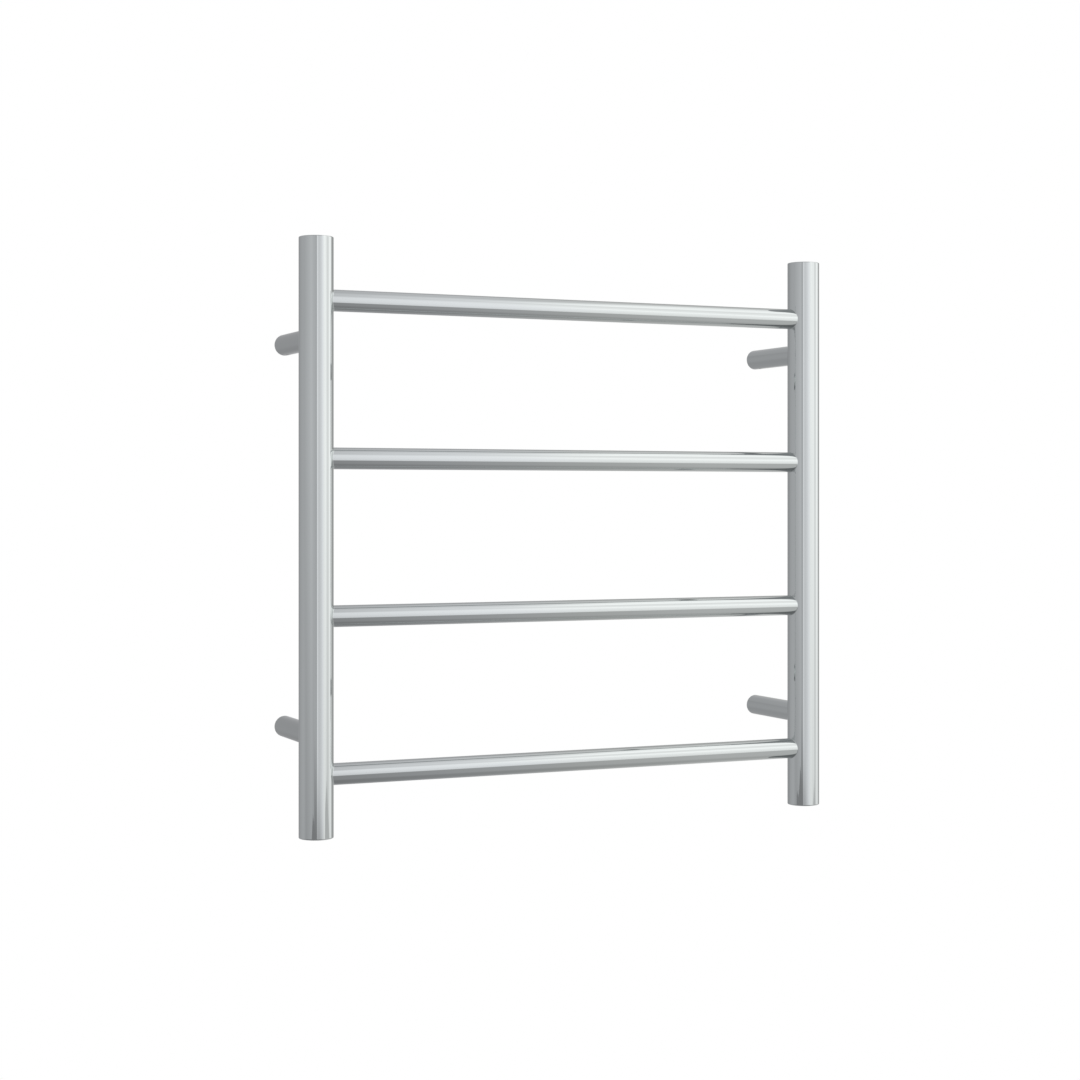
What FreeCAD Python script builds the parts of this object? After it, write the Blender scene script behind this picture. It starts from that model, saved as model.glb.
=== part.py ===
"""Wall-hung electric towel rail: a ladder of four round bars between two round posts.

Frame, in millimetres: the wall is the plane Y = 0 and +Y points into it, +X is to the
right for someone facing the rail, +Z is up. The origin is the middle of the four wall
screws. Every tube is polished stainless steel. A heating cable runs through all of them.
"""

import FreeCAD
import Part
import Sketcher
import math
import os

Vector = FreeCAD.Vector
Rotation = FreeCAD.Rotation

# --- Driving dimensions ------------------------------------------------------------------
# Alias, value in millimetres, and what it is. Each one is free to change by itself.
SIZES = [
    # the ladder
    ("post_spacing", "518", "between the axes of the two posts"),
    ("post_length", "550", "height of a post"),
    ("post_od", "32", "outside diameter of a post"),
    ("post_wall", "1.5", "wall of a post"),
    ("post_edge", "0.6", "broken outer edge at each end of a post"),
    ("post_standoff", "98", "from the wall to the axes of the posts"),
    ("rail_margin", "57.5", "from each end of a post to the nearest bar's axis"),
    ("rail_od", "20", "outside diameter of a bar"),
    ("rail_wall", "1.2", "wall of a bar"),
    ("weld_gap", "0.04", "root gap of a ground weld, between a coped tube and its post"),
    # the four standoffs that carry the ladder off the wall
    ("standoff_margin", "92.5", "from each end of a post to the nearest standoff's axis"),
    ("standoff_od", "20", "outside diameter of a standoff"),
    ("standoff_wall", "1.5", "wall of a standoff"),
    ("standoff_edge", "0.5", "broken outer edge of a standoff at the wall"),
    # post end caps, each a plug that is flush with the end of its post
    ("cap_plate", "3", "thickness of a cap's plate"),
    ("cap_edge", "0.25", "broken outer edge of a cap's plate"),
    ("cap_skirt", "5", "how far a cap's skirt reaches on into its post"),
    ("cap_wall", "2", "wall of a cap's skirt"),
    ("cap_fit", "0.05", "gap round a cap"),
    ("earth_boss_od", "10", "boss for the earth screw in the lower right cap"),
    # wall bosses, one inside each standoff
    ("boss_length", "26", "length of a wall boss"),
    ("boss_fit", "0.1", "gap round a wall boss"),
    ("boss_edge", "1", "lead-in chamfer of a wall boss"),
    ("screw_hole", "4.2", "wall screw hole"),
    ("screw_head", "7.4", "countersink for the wall screw's head"),
    ("screw_offset", "4", "from a boss's axis to its wall screw, towards the rack's middle"),
    ("passage_bore", "7.6", "passage for the supply lead"),
    ("passage_offset", "4", "from a boss's axis to the passage, away from the rack's middle"),
    # grub screws that clamp the standoffs on their bosses
    ("grub_diameter", "4", "thread of a grub screw"),
    ("grub_length", "5", "length of a grub screw"),
    ("grub_inset", "13", "from the wall to a grub screw's axis"),
    ("grub_recess", "0.3", "how far a grub screw sits below the standoff's skin"),
    ("grub_chamfer", "0.4", "chamfered ends of a grub screw"),
    ("grub_cup", "2.5", "diameter of the cup point"),
    ("grub_cup_depth", "0.6", "depth of the cup point"),
    ("grub_socket", "2", "hexagon socket across its flats"),
    ("grub_socket_depth", "2.2", "depth of the hexagon socket"),
    ("thread_fit", "0.05", "gap round a thread, and under a screw's point"),
    # silicone grommet for the supply lead
    ("grommet_bore", "6.2", "bore of the grommet, for a 6 mm lead"),
    ("grommet_fit", "0.05", "gap between the grommet and its passage"),
    ("grommet_flange", "8.3", "diameter of the grommet's flange"),
    ("grommet_flange_thickness", "1.5", "thickness of the grommet's flange"),
    ("lead_port", "12", "hole from the lower right standoff into its post"),
    # heating cable
    ("cable_od", "4", "outside diameter of the heating cable"),
    ("cable_fit", "0.1", "gap between the cable and a tube that it lies against"),
    ("outer_turn", "22", "radius of a turn that hugs the far wall of a post"),
    ("inner_turn", "16", "radius of a turn in the middle of the right post"),
    ("tail_turn", "12", "radius of the last turn, down to its splice"),
    # joints in the wiring, at the foot of the right post
    ("splice_drop", "1", "straight cable between the last turn and its splice"),
    ("splice_od", "6.6", "barrel of a closed-end splice"),
    ("splice_mouth", "7.8", "flared mouth of a splice"),
    ("splice_flare", "3", "length of the flared mouth"),
    ("splice_length", "15", "length of a splice"),
    ("splice_crimp", "1", "depth of the crimped waist, across the barrel"),
    ("splice_grip", "8", "how far the cable reaches into a splice"),
    ("splice_fit", "0.1", "gap between a splice and its cable"),
    ("splice_nose", "1.2", "chamfered closed end of a splice"),
    ("cutout_od", "6", "body of the thermal cut-out"),
    ("cutout_length", "16", "length of the thermal cut-out"),
    ("cutout_rise", "50", "from the lower standoff's axis up to the cut-out's middle"),
    ("sleeve_wall", "0.5", "wall of the cut-out's shrink sleeve"),
    ("sleeve_overlap", "6", "how far the sleeve reaches along the cable, each way"),
    ("sleeve_taper", "1.5", "length over which the sleeve shrinks to the cable"),
    ("sleeve_fit", "0.05", "gap inside the shrink sleeve"),
    # earth connection on the lower right cap
    ("earth_thread", "4", "thread of the earth screw"),
    ("earth_head", "7", "head of the earth screw"),
    ("earth_head_height", "2.2", "height of the earth screw's head"),
    ("earth_head_edge", "0.5", "chamfered edge of the earth screw's head"),
    ("earth_reach", "4", "how far the earth screw threads into the boss"),
    ("earth_slot", "1", "width of the screwdriver slot"),
    ("earth_slot_depth", "1.2", "depth of the screwdriver slot"),
    ("washer_od", "8", "toothed washer, over its teeth"),
    ("washer_thickness", "0.5", "thickness of the toothed washer"),
    ("washer_tooth", "0.9", "length of a tooth"),
    ("washer_gap", "0.9", "width of the notch between two teeth"),
    ("lug_od", "8", "ring of the earth terminal"),
    ("lug_thickness", "0.8", "plate of the earth terminal"),
    ("lug_neck", "3.4", "width of the terminal's neck"),
    ("lug_reach", "5", "from the ring's middle to the barrel"),
    ("lug_barrel_od", "3.8", "barrel that takes the earth wire"),
    ("lug_barrel_wall", "0.6", "wall of that barrel"),
    ("lug_barrel_length", "6", "length of that barrel"),
]

# The bars from the bottom up, and the two sides and two ends that repeat.
RAILS = ("bottom_rail", "lower_middle_rail", "upper_middle_rail", "top_rail")
SIDES = (("left", -1), ("right", 1))
LEVELS = (("lower", -1), ("upper", 1))
WASHER_TEETH = 8

# --- Sizes that follow from the driving ones, as expressions ------------------------------
POST_X = "(Sizes.post_spacing / 2)"
POST_RADIUS = "(Sizes.post_od / 2)"
POST_BORE = "(Sizes.post_od - 2 * Sizes.post_wall)"
COPE = "(Sizes.post_od + 2 * Sizes.weld_gap)"
RAIL_BORE = "(Sizes.rail_od - 2 * Sizes.rail_wall)"
RAIL_PITCH = f"((Sizes.post_length - 2 * Sizes.rail_margin) / {len(RAILS) - 1})"
RAIL_TOP = "(Sizes.post_length / 2 - Sizes.rail_margin)"
STANDOFF_Z = "(Sizes.post_length / 2 - Sizes.standoff_margin)"
STANDOFF_BORE = "(Sizes.standoff_od - 2 * Sizes.standoff_wall)"
BOSS_OD = f"({STANDOFF_BORE} - 2 * Sizes.boss_fit)"
CAP_SEAT = "(Sizes.post_length / 2 - Sizes.cap_plate)"
CAP_OD = f"({POST_BORE} - 2 * Sizes.cap_fit)"
CAP_HOLLOW = f"({CAP_OD} - 2 * Sizes.cap_wall)"
GRUB_TIP = "(Sizes.standoff_od / 2 - Sizes.grub_recess - Sizes.grub_length)"
GRUB_SEAT = f"({GRUB_TIP} - Sizes.thread_fit)"
GRUB_HOLE = "(Sizes.grub_diameter + 2 * Sizes.thread_fit)"
PASSAGE_X = f"({POST_X} + Sizes.passage_offset)"
SLEEVE_RADIUS = "(Sizes.cutout_od / 2 + Sizes.sleeve_fit + Sizes.sleeve_wall)"
CABLE_DROP = f"({RAIL_BORE} / 2 - Sizes.cable_od / 2 - Sizes.cable_fit)"
RETURN_X = f"({POST_X} + {POST_BORE} / 2 - {SLEEVE_RADIUS} - Sizes.cable_fit)"
TAIL_X = f"({POST_X} - {POST_RADIUS} + Sizes.tail_turn)"
SPLICE_Z = f"(-{RAIL_TOP} - {CABLE_DROP} - Sizes.tail_turn - Sizes.splice_drop)"
CABLE_END_Z = f"({SPLICE_Z} - Sizes.splice_grip)"
CUTOUT_Z = f"(Sizes.cutout_rise - {STANDOFF_Z})"
EARTH_SEAT = f"(Sizes.cap_skirt - {CAP_SEAT})"

doc = FreeCAD.newDocument("towel_rail")
sheet = doc.addObject("Spreadsheet::Sheet", "Sizes")
for row, (alias, value, note) in enumerate(SIZES, start=1):
    sheet.set(f"A{row}", note)
    sheet.set(f"B{row}", value)
    sheet.setAlias(f"B{row}", alias)
doc.recompute()

parts = []


# --- Drawing helpers ----------------------------------------------------------------------
def new_body(label):
    """An empty body whose label is the name of the piece."""
    body = doc.addObject("PartDesign::Body", "Body")
    body.Label = label
    return body


def new_sketch(body, name, role, raised="0"):
    """A sketch on one of the body's own origin planes, or raised off it along its normal."""
    sketch = body.newObject("Sketcher::SketchObject", name)
    plane = next(item for item in body.Origin.OriginFeatures if item.Role == role)
    sketch.AttachmentSupport = [(plane, "")]
    sketch.MapMode = "FlatFace"
    if raised != "0":
        sketch.setExpression("AttachmentOffset.Base.z", raised)
    return sketch


def pin_point(sketch, geometry, point, name, across, up, start):
    """Hold a point at two expressions, measured from the sketch's origin."""
    for kind, axis, value, there in (("DistanceX", -2, across, start[0]), ("DistanceY", -1, up, start[1])):
        if value == "0":
            sketch.addConstraint(Sketcher.Constraint("PointOnObject", geometry, point, axis))
            continue
        index = sketch.addConstraint(Sketcher.Constraint(kind, -1, 1, geometry, point, there))
        sketch.renameConstraint(index, f"{name}_{kind[-1]}")
        sketch.setExpression(f"Constraints.{name}_{kind[-1]}", value)


def add_circle(sketch, name, diameter, across="0", up="0"):
    """A circle of a diameter, round a point."""
    start = (0.0 if across == "0" else 1.0, 0.0 if up == "0" else 1.0)
    circle = Part.Circle(Vector(start[0], start[1], 0), Vector(0, 0, 1), 1)
    geometry = sketch.addGeometry(circle, False)
    index = sketch.addConstraint(Sketcher.Constraint("Diameter", geometry, 2.0))
    sketch.renameConstraint(index, name)
    sketch.setExpression(f"Constraints.{name}", diameter)
    pin_point(sketch, geometry, 3, name, across, up, start)


def add_outline(sketch, name, points):
    """A closed outline of straight lines through points, each a pair of expressions."""
    starts = []
    for place, (across, up) in enumerate(points):
        starts.append((0.0 if across == "0" else place + 1.0, 0.0 if up == "0" else (place + 1.0) ** 2))
    lines = []
    for place, start in enumerate(starts):
        end = starts[(place + 1) % len(starts)]
        segment = Part.LineSegment(Vector(start[0], start[1], 0), Vector(end[0], end[1], 0))
        lines.append(sketch.addGeometry(segment, False))
    for place, line in enumerate(lines):
        after = lines[(place + 1) % len(lines)]
        sketch.addConstraint(Sketcher.Constraint("Coincident", line, 2, after, 1))
    for place, (across, up) in enumerate(points):
        pin_point(sketch, lines[place], 1, f"{name}_{place}", across, up, starts[place])


def pad(body, sketch, length, sides="One side", backwards=False):
    """Raise a sketch into a solid."""
    feature = body.newObject("PartDesign::Pad", "Pad")
    feature.Profile = sketch
    feature.setExpression("Length", length)
    feature.SideType = sides
    feature.Reversed = backwards
    return feature


def pocket(body, sketch, length=None, sides="One side", backwards=False):
    """Cut a sketch out of a solid, to a depth or right through."""
    feature = body.newObject("PartDesign::Pocket", "Pocket")
    feature.Profile = sketch
    feature.SideType = sides
    if length is None:
        feature.Type = "ThroughAll"
    else:
        feature.setExpression("Length", length)
    feature.Reversed = backwards
    return feature


def revolve(body, sketch, axis):
    """Turn a sketch all the way round one of its own axes."""
    feature = body.newObject("PartDesign::Revolution", "Revolution")
    feature.Profile = sketch
    feature.ReferenceAxis = (sketch, [axis])
    return feature


def ring(body, name, role, outside, bore, length, sides="One side", backwards=False, raised="0"):
    """A round tube: two circles on one centre, padded."""
    sketch = new_sketch(body, name, role, raised)
    add_circle(sketch, "outside", outside)
    add_circle(sketch, "bore", bore)
    return pad(body, sketch, length, sides, backwards)


def round_edges(feature):
    """The names of a feature's circular edges, each with its circle."""
    found = []
    for number, edge in enumerate(feature.Shape.Edges, start=1):
        if isinstance(edge.Curve, Part.Circle):
            found.append((f"Edge{number}", edge.Curve))
    return found


def chamfer(body, feature, names, amount):
    """Break the named edges of the last feature by the same amount on both sides."""
    edge = body.newObject("PartDesign::Chamfer", "Chamfer")
    edge.Base = (feature, names)
    edge.setExpression("Size", amount)
    return edge


def place(part, across="0", back="0", up="0", turn=None):
    """Set a piece down at three expressions in the rail's frame, turned if need be."""
    if turn is not None:
        part.Placement = FreeCAD.Placement(Vector(0, 0, 0), turn)
    for axis, value in (("x", across), ("y", back), ("z", up)):
        part.setExpression(f"Placement.Base.{axis}", value)
    parts.append(part)
    return part


def signed(sign, expression):
    """The same distance to the left or right, or below or above."""
    return f"{sign} * {expression}"


# --- The ladder ---------------------------------------------------------------------------
def make_post(side, sign):
    """A post: a tube with a port into each bar on its inner side, bored as wide as the bar."""
    body = new_body(f"{side}_post")
    tube = ring(body, "Tube", "XY_Plane", "Sizes.post_od", POST_BORE, "Sizes.post_length", "Symmetric")
    doc.recompute()
    radius = sheet.get("post_od") / 2
    rims = [name for name, circle in round_edges(tube) if abs(circle.Radius - radius) < 1e-6]
    chamfer(body, tube, rims, "Sizes.post_edge")
    port = new_sketch(body, "RailPort", "YZ_Plane")
    add_circle(port, "port", RAIL_BORE, "0", f"-{RAIL_TOP}")
    first = pocket(body, port, "Sizes.post_od", backwards=sign < 0)
    doc.recompute()
    ports = body.newObject("PartDesign::LinearPattern", "RailPorts")
    ports.Originals = [first]
    ports.Direction = (next(item for item in body.Origin.OriginFeatures if item.Role == "Z_Axis"), [""])
    ports.setExpression("Length", f"2 * {RAIL_TOP}")
    ports.Occurrences = len(RAILS)
    body.Tip = ports
    if sign > 0:
        lead = new_sketch(body, "LeadPort", "XZ_Plane")
        add_circle(lead, "port", "Sizes.lead_port", "0", f"-{STANDOFF_Z}")
        pocket(body, lead, "Sizes.post_od")
    return place(body, signed(sign, POST_X), "-Sizes.post_standoff")


def make_rail(label, number):
    """A bar: a tube whose two ends are coped to sit round the posts."""
    body = new_body(label)
    ring(body, "Tube", "YZ_Plane", "Sizes.rail_od", RAIL_BORE, "Sizes.post_spacing", "Symmetric")
    for side, sign in SIDES:
        cope = new_sketch(body, "Cope", "XY_Plane")
        add_circle(cope, "post", COPE, signed(sign, POST_X))
        pocket(body, cope, "2 * Sizes.rail_od", "Symmetric")
    return place(body, "0", "-Sizes.post_standoff", f"{number} * {RAIL_PITCH} - {RAIL_TOP}")


def make_standoff(side, sign, level, height):
    """A standoff: coped to the post in front, square at the wall, tapped underneath."""
    body = new_body(f"{level}_{side}_standoff")
    tube = ring(body, "Tube", "XZ_Plane", "Sizes.standoff_od", STANDOFF_BORE, "Sizes.post_standoff")
    doc.recompute()
    radius = sheet.get("standoff_od") / 2
    rim = [
        name for name, circle in round_edges(tube)
        if abs(circle.Radius - radius) < 1e-6 and abs(circle.Center.y) < 1e-6
    ]
    chamfer(body, tube, rim, "Sizes.standoff_edge")
    cope = new_sketch(body, "Cope", "XY_Plane")
    add_circle(cope, "post", COPE, "0", "-Sizes.post_standoff")
    pocket(body, cope, "2 * Sizes.standoff_od", "Symmetric")
    tapped = new_sketch(body, "GrubHole", "XY_Plane")
    add_circle(tapped, "hole", GRUB_HOLE, "0", "-Sizes.grub_inset")
    pocket(body, tapped, "Sizes.standoff_od")
    return place(body, signed(sign, POST_X), "0", signed(height, STANDOFF_Z))


def make_cap(side, sign, level, height):
    """A post's end cap: a hollow plug, flush with the end of the post.

    The lower right one is the service cap. It carries the boss for the earth screw.
    """
    body = new_body(f"{level}_{side}_post_cap")
    section = new_sketch(body, "Section", "XY_Plane", "-Sizes.cap_skirt")
    add_circle(section, "outside", CAP_OD)
    plug = pad(body, section, "Sizes.cap_plate + Sizes.cap_skirt")
    doc.recompute()
    top = sheet.get("cap_plate")
    rim = [name for name, circle in round_edges(plug) if abs(circle.Center.z - top) < 1e-6]
    chamfer(body, plug, rim, "Sizes.cap_edge")
    hollow = new_sketch(body, "Hollow", "XY_Plane", "-Sizes.cap_skirt")
    add_circle(hollow, "skirt", CAP_HOLLOW)
    if sign > 0 and height < 0:
        add_circle(hollow, "earth_boss", "Sizes.earth_boss_od")
    pocket(body, hollow, "Sizes.cap_skirt", backwards=True)
    if sign > 0 and height < 0:
        tapped = new_sketch(body, "EarthHole", "XY_Plane", "-Sizes.cap_skirt")
        add_circle(tapped, "hole", "Sizes.earth_thread + 2 * Sizes.thread_fit")
        pocket(body, tapped, "Sizes.earth_reach + 2 * Sizes.thread_fit", backwards=True)
    turn = Rotation(Vector(1, 0, 0), 180) if height < 0 else None
    return place(body, signed(sign, POST_X), "-Sizes.post_standoff", signed(height, CAP_SEAT), turn)


# --- What holds the rail on the wall --------------------------------------------------------
def make_wall_boss(side, sign, level, height):
    """A wall boss: turned bar with an offset screw hole, an offset lead passage and cross slots.

    All four are one part. The left pair is turned half round, so that each wall screw is on
    the side of the rack's middle, and the slots above and below serve both ways round.
    """
    body = new_body(f"{level}_{side}_wall_boss")
    section = new_sketch(body, "Section", "XZ_Plane")
    add_circle(section, "outside", BOSS_OD)
    bar = pad(body, section, "Sizes.boss_length")
    doc.recompute()
    front = -sheet.get("boss_length")
    rim = [name for name, circle in round_edges(bar) if abs(circle.Center.y - front) < 1e-6]
    chamfer(body, bar, rim, "Sizes.boss_edge")
    doc.recompute()
    centre = new_sketch(body, "ScrewCentre", "XZ_Plane", "Sizes.boss_length")
    add_circle(centre, "centre", "Sizes.screw_hole", "-Sizes.screw_offset")
    doc.recompute()
    hole = body.newObject("PartDesign::Hole", "ScrewHole")
    hole.Profile = centre
    doc.recompute()
    hole.DepthType = "ThroughAll"
    hole.setExpression("Diameter", "Sizes.screw_hole")
    hole.HoleCutType = "Countersink"
    hole.HoleCutCustomValues = True
    hole.HoleCutCountersinkAngle = 90
    hole.setExpression("HoleCutDiameter", "Sizes.screw_head")
    passage = new_sketch(body, "Passage", "XZ_Plane")
    add_circle(passage, "bore", "Sizes.passage_bore", "Sizes.passage_offset")
    pocket(body, passage, "2 * Sizes.boss_length", "Symmetric")
    for facing in (-1, 1):
        slot = new_sketch(body, "GrubSlot", "YZ_Plane")
        near = f"{GRUB_HOLE} / 2 - Sizes.grub_inset"
        far = f"-{GRUB_HOLE} / 2 - Sizes.grub_inset"
        floor = signed(facing, GRUB_SEAT)
        mouth = signed(facing, "Sizes.standoff_od")
        add_outline(slot, "slot", [(near, floor), (near, mouth), (far, mouth), (far, floor)])
        pocket(body, slot, "2 * Sizes.standoff_od", "Symmetric")
    turn = Rotation(Vector(0, 1, 0), 180) if sign < 0 else None
    return place(body, signed(sign, POST_X), "0", signed(height, STANDOFF_Z), turn)


def make_grub_screw(sign, height):
    """One grub screw: cup point up against its boss, hexagon socket open below."""
    body = new_body("grub_screw")
    section = new_sketch(body, "Section", "XZ_Plane")
    radius = "Sizes.grub_diameter / 2"
    add_outline(section, "edge", [
        ("0", "-Sizes.grub_cup_depth"),
        ("Sizes.grub_cup / 2", "0"),
        (f"{radius} - Sizes.grub_chamfer", "0"),
        (radius, "-Sizes.grub_chamfer"),
        (radius, "Sizes.grub_chamfer - Sizes.grub_length"),
        (f"{radius} - Sizes.grub_chamfer", "-Sizes.grub_length"),
        ("0", "-Sizes.grub_length"),
    ])
    revolve(body, section, "V_Axis")
    flat = "Sizes.grub_socket / 2"
    corner = "Sizes.grub_socket / sqrt(3)"
    half = f"{corner} / 2"
    hexagon = new_sketch(body, "Socket", "XY_Plane", "-Sizes.grub_length")
    add_outline(hexagon, "flat", [
        ("0", corner),
        (flat, half),
        (flat, f"-{half}"),
        ("0", f"-{corner}"),
        (f"-{flat}", f"-{half}"),
        (f"-{flat}", half),
    ])
    pocket(body, hexagon, "Sizes.grub_socket_depth", backwards=True)
    body.setExpression("Placement.Base.x", signed(sign, POST_X))
    body.setExpression("Placement.Base.y", "-Sizes.grub_inset")
    body.setExpression("Placement.Base.z", f"{signed(height, STANDOFF_Z)} - {GRUB_TIP}")
    return body


def make_grommet():
    """The lead's silicone grommet: a sleeve through the lower right boss, flanged inside."""
    body = new_body("lead_grommet")
    outside = "Sizes.passage_bore - 2 * Sizes.grommet_fit"
    ring(body, "Sleeve", "XZ_Plane", outside, "Sizes.grommet_bore", "Sizes.boss_length + Sizes.grommet_fit")
    ring(
        body, "Flange", "XZ_Plane", "Sizes.grommet_flange", "Sizes.grommet_bore",
        "Sizes.grommet_flange_thickness", raised="Sizes.boss_length + Sizes.grommet_fit",
    )
    return place(body, PASSAGE_X, "0", f"-{STANDOFF_Z}")


# --- Wiring ---------------------------------------------------------------------------------
def cable_wire(points, radii, back):
    """Straight runs through the points of a plan in X and Z, joined by tangent arcs."""
    corners = [Vector(across, back, up) for across, up in points]
    edges = []
    start = corners[0]
    for before, corner, after, radius in zip(corners, corners[1:], corners[2:], radii):
        inward = (before - corner).normalize()
        outward = (after - corner).normalize()
        half_turn = (math.pi - inward.getAngle(outward)) / 2
        reach = radius * math.tan(half_turn)
        bisector = (inward + outward).normalize()
        middle = corner + bisector * (radius / math.cos(half_turn) - radius)
        edges.append(Part.LineSegment(start, corner + inward * reach).toShape())
        start = corner + outward * reach
        edges.append(Part.Arc(corner + inward * reach, middle, start).toShape())
    edges.append(Part.LineSegment(start, corners[-1]).toShape())
    return Part.Wire(edges)


def make_cable():
    """The heating cable: along the floor of each bar in turn, then down the right post."""
    size = {alias: sheet.get(alias) for alias, value, note in SIZES}
    post_x = size["post_spacing"] / 2
    post_bore = size["post_od"] - 2 * size["post_wall"]
    rail_bore = size["rail_od"] - 2 * size["rail_wall"]
    rail_top = size["post_length"] / 2 - size["rail_margin"]
    pitch = 2 * rail_top / (len(RAILS) - 1)
    radius = size["cable_od"] / 2
    drop = rail_bore / 2 - radius - size["cable_fit"]
    sleeve = size["cutout_od"] / 2 + size["sleeve_fit"] + size["sleeve_wall"]
    far_left = -(post_x + post_bore / 2 - radius - size["cable_fit"])
    mid_right = post_x - size["post_od"] / 2 + size["inner_turn"]
    far_right = post_x + post_bore / 2 - sleeve - size["cable_fit"]
    tail = post_x - size["post_od"] / 2 + size["tail_turn"]
    heights = [number * pitch - rail_top - drop for number in range(len(RAILS))]
    splice = heights[0] - size["tail_turn"] - size["splice_drop"]
    cutout = size["cutout_rise"] - (size["post_length"] / 2 - size["standoff_margin"])
    end = cutout + size["cutout_length"] / 2

    points = [(tail, splice - size["splice_grip"]), (tail, heights[0])]
    radii = [size["tail_turn"]]
    turns = ((far_left, size["outer_turn"]), (mid_right, size["inner_turn"]))
    for number in range(len(RAILS) - 1):
        column, bend = turns[number % 2]
        points += [(column, heights[number]), (column, heights[number + 1])]
        radii += [bend, bend]
    points += [(far_right, heights[-1]), (far_right, end)]
    radii.append(size["outer_turn"])

    wire = cable_wire(points, radii, -size["post_standoff"])
    section = Part.Wire([Part.Circle(wire.Vertexes[0].Point, Vector(0, 0, 1), radius).toShape()])
    cable = doc.addObject("Part::Feature", "HeatingCable")
    cable.Label = "heating_cable"
    cable.Shape = wire.makePipeShell([section], True, True)
    cable.Placement = FreeCAD.Placement()
    share = cable.Shape.Volume / (math.pi * radius**2 * wire.Length)
    print(f"heating cable: {wire.Length:.0f} mm long, volume {share:.5f} of its tube's")
    print("turn radii:", sorted(set(radii)))
    parts.append(cable)


def make_return_tail():
    """The short cable from the thermal cut-out down to its splice."""
    body = new_body("return_tail")
    section = new_sketch(body, "Section", "XY_Plane")
    add_circle(section, "outside", "Sizes.cable_od")
    pad(body, section, f"{CUTOUT_Z} - Sizes.cutout_length / 2 - {CABLE_END_Z}")
    return place(body, RETURN_X, "-Sizes.post_standoff", CABLE_END_Z)


def make_splice(label, across):
    """A closed-end crimp splice, mouth up, with a blind bore for the cable's end."""
    body = new_body(label)
    section = new_sketch(body, "Section", "XZ_Plane")
    barrel = "Sizes.splice_od / 2"
    waist = f"{barrel} - Sizes.splice_crimp / 2"
    bore = "Sizes.cable_od / 2 + Sizes.splice_fit"
    floor = "-Sizes.splice_grip - Sizes.splice_fit"
    crimp_top = "-Sizes.splice_flare - Sizes.splice_crimp"
    crimp_end = "-Sizes.splice_grip"
    add_outline(section, "edge", [
        (bore, "0"),
        ("Sizes.splice_mouth / 2", "0"),
        (barrel, "-Sizes.splice_flare"),
        (waist, crimp_top),
        (waist, crimp_end),
        (barrel, f"{crimp_end} - Sizes.splice_crimp"),
        (barrel, "-Sizes.splice_length"),
        ("0", "-Sizes.splice_length"),
        ("0", floor),
        (bore, floor),
    ])
    turned = revolve(body, section, "V_Axis")
    doc.recompute()
    end = -sheet.get("splice_length")
    rim = [name for name, circle in round_edges(turned) if abs(circle.Center.z - end) < 1e-6]
    chamfer(body, turned, rim, "Sizes.splice_nose")
    return place(body, across, "-Sizes.post_standoff", SPLICE_Z)


def make_cutout():
    """The thermal cut-out: a small sealed can in line with the cable."""
    body = new_body("thermal_cutout")
    section = new_sketch(body, "Section", "XY_Plane")
    add_circle(section, "outside", "Sizes.cutout_od")
    can = pad(body, section, "Sizes.cutout_length", "Symmetric")
    doc.recompute()
    rims = [name for name, circle in round_edges(can)]
    chamfer(body, can, rims, "Sizes.sleeve_wall")
    return place(body, RETURN_X, "-Sizes.post_standoff", CUTOUT_Z)


def make_cutout_sleeve():
    """The shrink sleeve: wide over the can, tapering down to grip the cable each way."""
    body = new_body("cutout_sleeve")
    section = new_sketch(body, "Section", "XZ_Plane")
    over_can = "Sizes.cutout_od / 2 + Sizes.sleeve_fit"
    over_cable = "Sizes.cable_od / 2 + Sizes.sleeve_fit"
    shoulder = "Sizes.cutout_length / 2 + Sizes.sleeve_fit"
    neck = f"{shoulder} + Sizes.sleeve_taper"
    end = "Sizes.cutout_length / 2 + Sizes.sleeve_overlap"
    add_outline(section, "edge", [
        (over_cable, end),
        (f"{over_cable} + Sizes.sleeve_wall", end),
        (f"{over_cable} + Sizes.sleeve_wall", neck),
        (f"{over_can} + Sizes.sleeve_wall", shoulder),
        (f"{over_can} + Sizes.sleeve_wall", f"-({shoulder})"),
        (f"{over_cable} + Sizes.sleeve_wall", f"-({neck})"),
        (f"{over_cable} + Sizes.sleeve_wall", f"-({end})"),
        (over_cable, f"-({end})"),
        (over_cable, f"-({neck})"),
        (over_can, f"-({shoulder})"),
        (over_can, shoulder),
        (over_cable, neck),
    ])
    revolve(body, section, "V_Axis")
    return place(body, RETURN_X, "-Sizes.post_standoff", CUTOUT_Z)


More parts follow.
